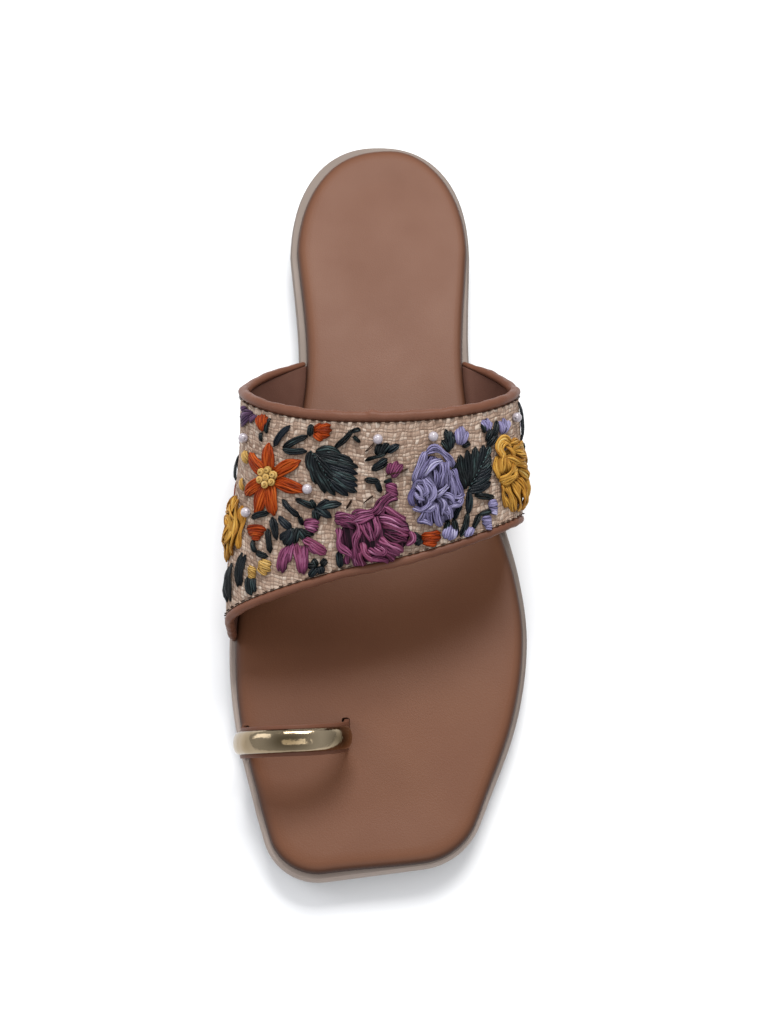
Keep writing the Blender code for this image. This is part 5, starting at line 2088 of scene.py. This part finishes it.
@dataclass(frozen=True)
class Sprays:
    """The small straight stitches between the big motifs, the pearls, and the seams along the bindings."""

    bow: float = 0.75
    bow_power: float = 0.7
    stitch_foot: float = 0.05
    samples: int = 7
    shade: float = 0.52
    shade_change: float = 0.16
    cast: Point = (0.05, 0.2)
    strands: int = 3
    crumple: float = 0.4
    pearl_radius: float = 1.4
    pearl_segments: int = 20
    pearl_rings: int = 14
    pearl_seat: float = 0.85
    hole_edge: float = 0.97
    hole_shape: Spot = (0.7, 0.7, 0.62)
    seam_pitch: float = 2.3
    seam_length: float = 1.2
    seam_jitter: float = 0.35
    seam_width: float = 0.28
    seam_shade: float = 0.5
    seam_lift: tuple[float, ...] = (-0.1, 0.08, 0.12, 0.08, -0.1)
    front_seam_inset: float = 0.25
    collar_seam_inset: float = 0.08
    seam_ends: float = 4.0

    def build(self, palette: Palette, ground: Ground, seed: int) -> None:
        """Lays and dresses the stitches, the seams and the pearls.

        Args:
            palette: The finishes.
            ground: The band to lay on.
            seed: The seed of their small differences.
        """
        for dye, rows in STITCHES.items():
            finish, slot, fullness = dye.value
            needle = Needle(ground, seed + len(dye.name))
            for row in rows:
                self.add_stitch(needle, dict(zip(STITCH_COLUMNS, row)), fullness)
            fit(needle.piece(f"{dye.name.lower()}_stitches"), [palette[finish]])
        self.add_seams(palette, ground, seed)
        self.add_pearls(palette, ground)

    def add_stitch(self, needle: Needle, place: dict[str, float], fullness: float) -> None:
        """Lays one stitch.

        Args:
            needle: Where it is gathered.
            place: Its row of the chart, by column.
            fullness: How full it lies.
        """
        share = np.linspace(0.0, 1.0, self.samples)
        ways = needle.ground.way_at(np.array((place["turn"], place["to turn"])))
        turn = needle.ground.turn_at(mix(*ways, share))
        across = mix(place["across"], place["to across"], share)
        lift = self.stitch_foot + self.bow * bow(share, self.bow_power)
        width = place["width"] * fullness
        shade = needle.about(self.shade, self.shade_change)
        cast = needle.chance_cast(*self.cast)
        needle.lay(
            turn, across, lift, width, shade, cast, Ends.POINTED, strands=self.strands, crumple=self.crumple
        )

    def add_seams(self, palette: Palette, ground: Ground, seed: int) -> None:
        """Rows of running stitches in the cloth beside the two bindings.

        Args:
            palette: The finishes.
            ground: The band to lay on.
            seed: The seed of their small differences.
        """
        needle = Needle(ground, seed)
        lift = np.array(self.seam_lift)
        first, last = ground.ways[0] + self.seam_ends, ground.ways[-1] - self.seam_ends
        for across, inset in ((0.0, self.front_seam_inset), (1.0, -self.collar_seam_inset)):
            places = np.arange(first, last, self.seam_pitch)
            for place in places + needle.random.uniform(-self.seam_jitter, self.seam_jitter, len(places)):
                turns = ground.turn_at(place + np.linspace(0.0, self.seam_length, len(lift)))
                climb = np.linalg.norm(ground.form.slopes(turns, np.full(len(lift), across))[1], axis=-1)
                needle.lay(turns, across + inset / climb, lift, self.seam_width, self.seam_shade)
        fit(needle.piece("binding_seams"), [palette["thread_strand"]])

    def add_pearls(self, palette: Palette, ground: Ground) -> None:
        """Drilled pearls, modelled once and copied.

        Args:
            palette: The finishes.
            ground: The band to set them on.
        """
        form = ground.form
        first = self.drilled_pearl()
        shape = np.zeros(len(first.data.vertices) * 3)
        first.data.vertices.foreach_get("co", shape)
        shape = shape.reshape(-1, 3)[:, (2, 0, 1)]
        copies = []
        for turn, across in np.array(PEARLS):
            turn, across = np.array(turn), np.array(across)
            out = form.outward(turn, across)
            aside = unit(form.slopes(turn, across)[0])
            place = form.point(turn, across, form.wall + self.pearl_radius * self.pearl_seat) * MM
            axes = np.stack((aside, np.cross(out, aside), out))
            Bench.hold(first)
            bpy.ops.object.duplicate()
            copy = bpy.context.object
            copy.data.vertices.foreach_set("co", (shape @ axes + place).astype(np.float32).ravel())
            copies.append(copy)
        bpy.data.objects.remove(first)
        Bench.hold(copies[0])
        for copy in copies:
            copy.select_set(True)
        bpy.ops.object.join()
        pearls = Bench.name(bpy.context.object, "pearls")
        Bench.face_out(pearls)
        fit(pearls, [palette["pearl_lustre"]])

    def drilled_pearl(self) -> Piece:
        """Models one pearl with a dimple at each end of its hole.

        Returns:
            The pearl, at the origin.
        """
        radius = self.pearl_radius * MM
        Bench.clear()
        bpy.ops.mesh.primitive_uv_sphere_add(
            segments=self.pearl_segments, ring_count=self.pearl_rings, radius=radius
        )
        pearl = Bench.name(bpy.context.object, "pearls")
        bpy.ops.object.mode_set(mode="EDIT")
        bpy.ops.mesh.select_all(action="DESELECT")
        bpy.ops.object.mode_set(mode="OBJECT")
        for face in pearl.data.polygons:
            face.select = abs(face.center.z) > radius * self.hole_edge
        bpy.ops.object.mode_set(mode="EDIT")
        bpy.ops.mesh.extrude_region_move()
        bpy.ops.transform.resize(value=self.hole_shape)
        bpy.ops.object.mode_set(mode="OBJECT")
        bpy.ops.object.shade_smooth()
        return pearl


@dataclass(frozen=True)
class Lamp:
    """A soft area lamp: where it is and what it lights, in metres."""

    name: str
    place: Spot
    aim: Spot
    size: Point
    power: float
    colour: Colour = (1.0, 1.0, 1.0)

    def hang(self) -> None:
        """Hangs the lamp and turns it to what it lights."""
        Bench.clear()
        bpy.ops.object.light_add(type="AREA", location=self.place)
        light = bpy.context.object
        light.name = self.name
        light.data.shape = "RECTANGLE"
        light.data.size, light.data.size_y = self.size
        light.data.energy = self.power
        light.data.color = self.colour
        way = np.array(self.aim) - np.array(self.place)
        pitch = math.atan2(math.hypot(way[0], way[1]), -way[2])
        light.rotation_euler = (pitch, 0.0, math.atan2(-way[0], way[1]))


@dataclass(frozen=True)
class Studio:
    """The pale floor, the soft light and the camera."""

    camera_place: Spot = (0.0019, -0.19903, 0.430)
    camera_tilt: float = math.radians(24.0)
    lens: float = 53.26
    sensor: float = 36.0
    nearest: float = 0.01
    floor_size: float = 6.0
    floor_cells: int = 8
    floor_tones: Point = (0.77, 0.80)
    floor_clouds: float = 3.0
    floor_roughness: float = 0.8
    world: Colour = (0.94, 0.96, 1.0)
    world_strength: float = 0.7
    lamps: tuple[Lamp, ...] = (
        Lamp("key", (0.06, 0.41, 0.66), (0.0, 0.0, 0.0), (0.4, 0.3), 6.2),
        Lamp("front_fill", (0.08, -0.45, 0.9), (0.0, -0.05, 0.0), (0.6, 0.4), 2.3),
        Lamp("left_fill", (-0.7, 0.2, 0.5), (0.0, 0.0, 0.02), (0.4, 0.6), 2.0, (0.92, 0.94, 1.0)),
    )

    def build(self) -> None:
        """Sets the floor, the lights and the camera."""
        self.add_floor()
        self.add_light()
        self.add_camera()

    def add_floor(self) -> None:
        """The floor, with a faint cloud in its paint."""
        cells = self.floor_cells
        Bench.clear()
        bpy.ops.mesh.primitive_grid_add(x_subdivisions=cells, y_subdivisions=cells, size=self.floor_size)
        floor = Bench.name(bpy.context.object, "floor")
        paint = bpy.data.materials.new("pale_floor")
        paint.use_nodes = True
        tree = Tree(paint.node_tree)
        shader = paint.node_tree.nodes["Principled BSDF"]
        stops = [(float(place), (tone, tone, tone)) for place, tone in enumerate(self.floor_tones)]
        pale = tree.ramp(tree.noise(tree.place(), self.floor_clouds), stops)
        paint.node_tree.links.new(pale, shader.inputs["Base Color"])
        shader.inputs["Roughness"].default_value = self.floor_roughness
        floor.data.materials.append(paint)

    def add_light(self) -> None:
        """The soft light from all round, and the lamps."""
        world = bpy.data.worlds.new("studio")
        world.use_nodes = True
        sky = world.node_tree.nodes["Background"]
        sky.inputs["Color"].default_value = (*self.world, 1.0)
        sky.inputs["Strength"].default_value = self.world_strength
        bpy.context.scene.world = world
        bpy.context.scene.view_settings.view_transform = "Standard"
        for lamp in self.lamps:
            lamp.hang()

    def add_camera(self) -> None:
        """The camera, above the toe and looking down at the band."""
        Bench.clear()
        bpy.ops.object.camera_add(location=self.camera_place, rotation=(self.camera_tilt, 0.0, 0.0))
        camera = bpy.context.object
        camera.name = "camera"
        camera.data.lens = self.lens
        camera.data.sensor_width = self.sensor
        camera.data.clip_start = self.nearest
        bpy.context.scene.camera = camera


def main() -> None:
    """Builds the shoe round its solids, then the studio."""
    logging.basicConfig(level=logging.INFO, format="%(name)s: %(message)s")
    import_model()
    palette = Palette()
    form = SoleForm()
    loop = ToeLoop(form)
    Sole(form).build(palette, loop)
    loop.build(palette)
    band_form = BandForm(form)
    ground = Ground(band_form)
    Band(band_form).build(palette, ground)
    for number, motif in enumerate((*ROSES, Daisy(), *LEAVES, Sprays())):
        motif.build(palette, ground, FIRST_SEED + SEED_STEP * number)
    Studio().build()


if __name__ == "__main__":
    main()
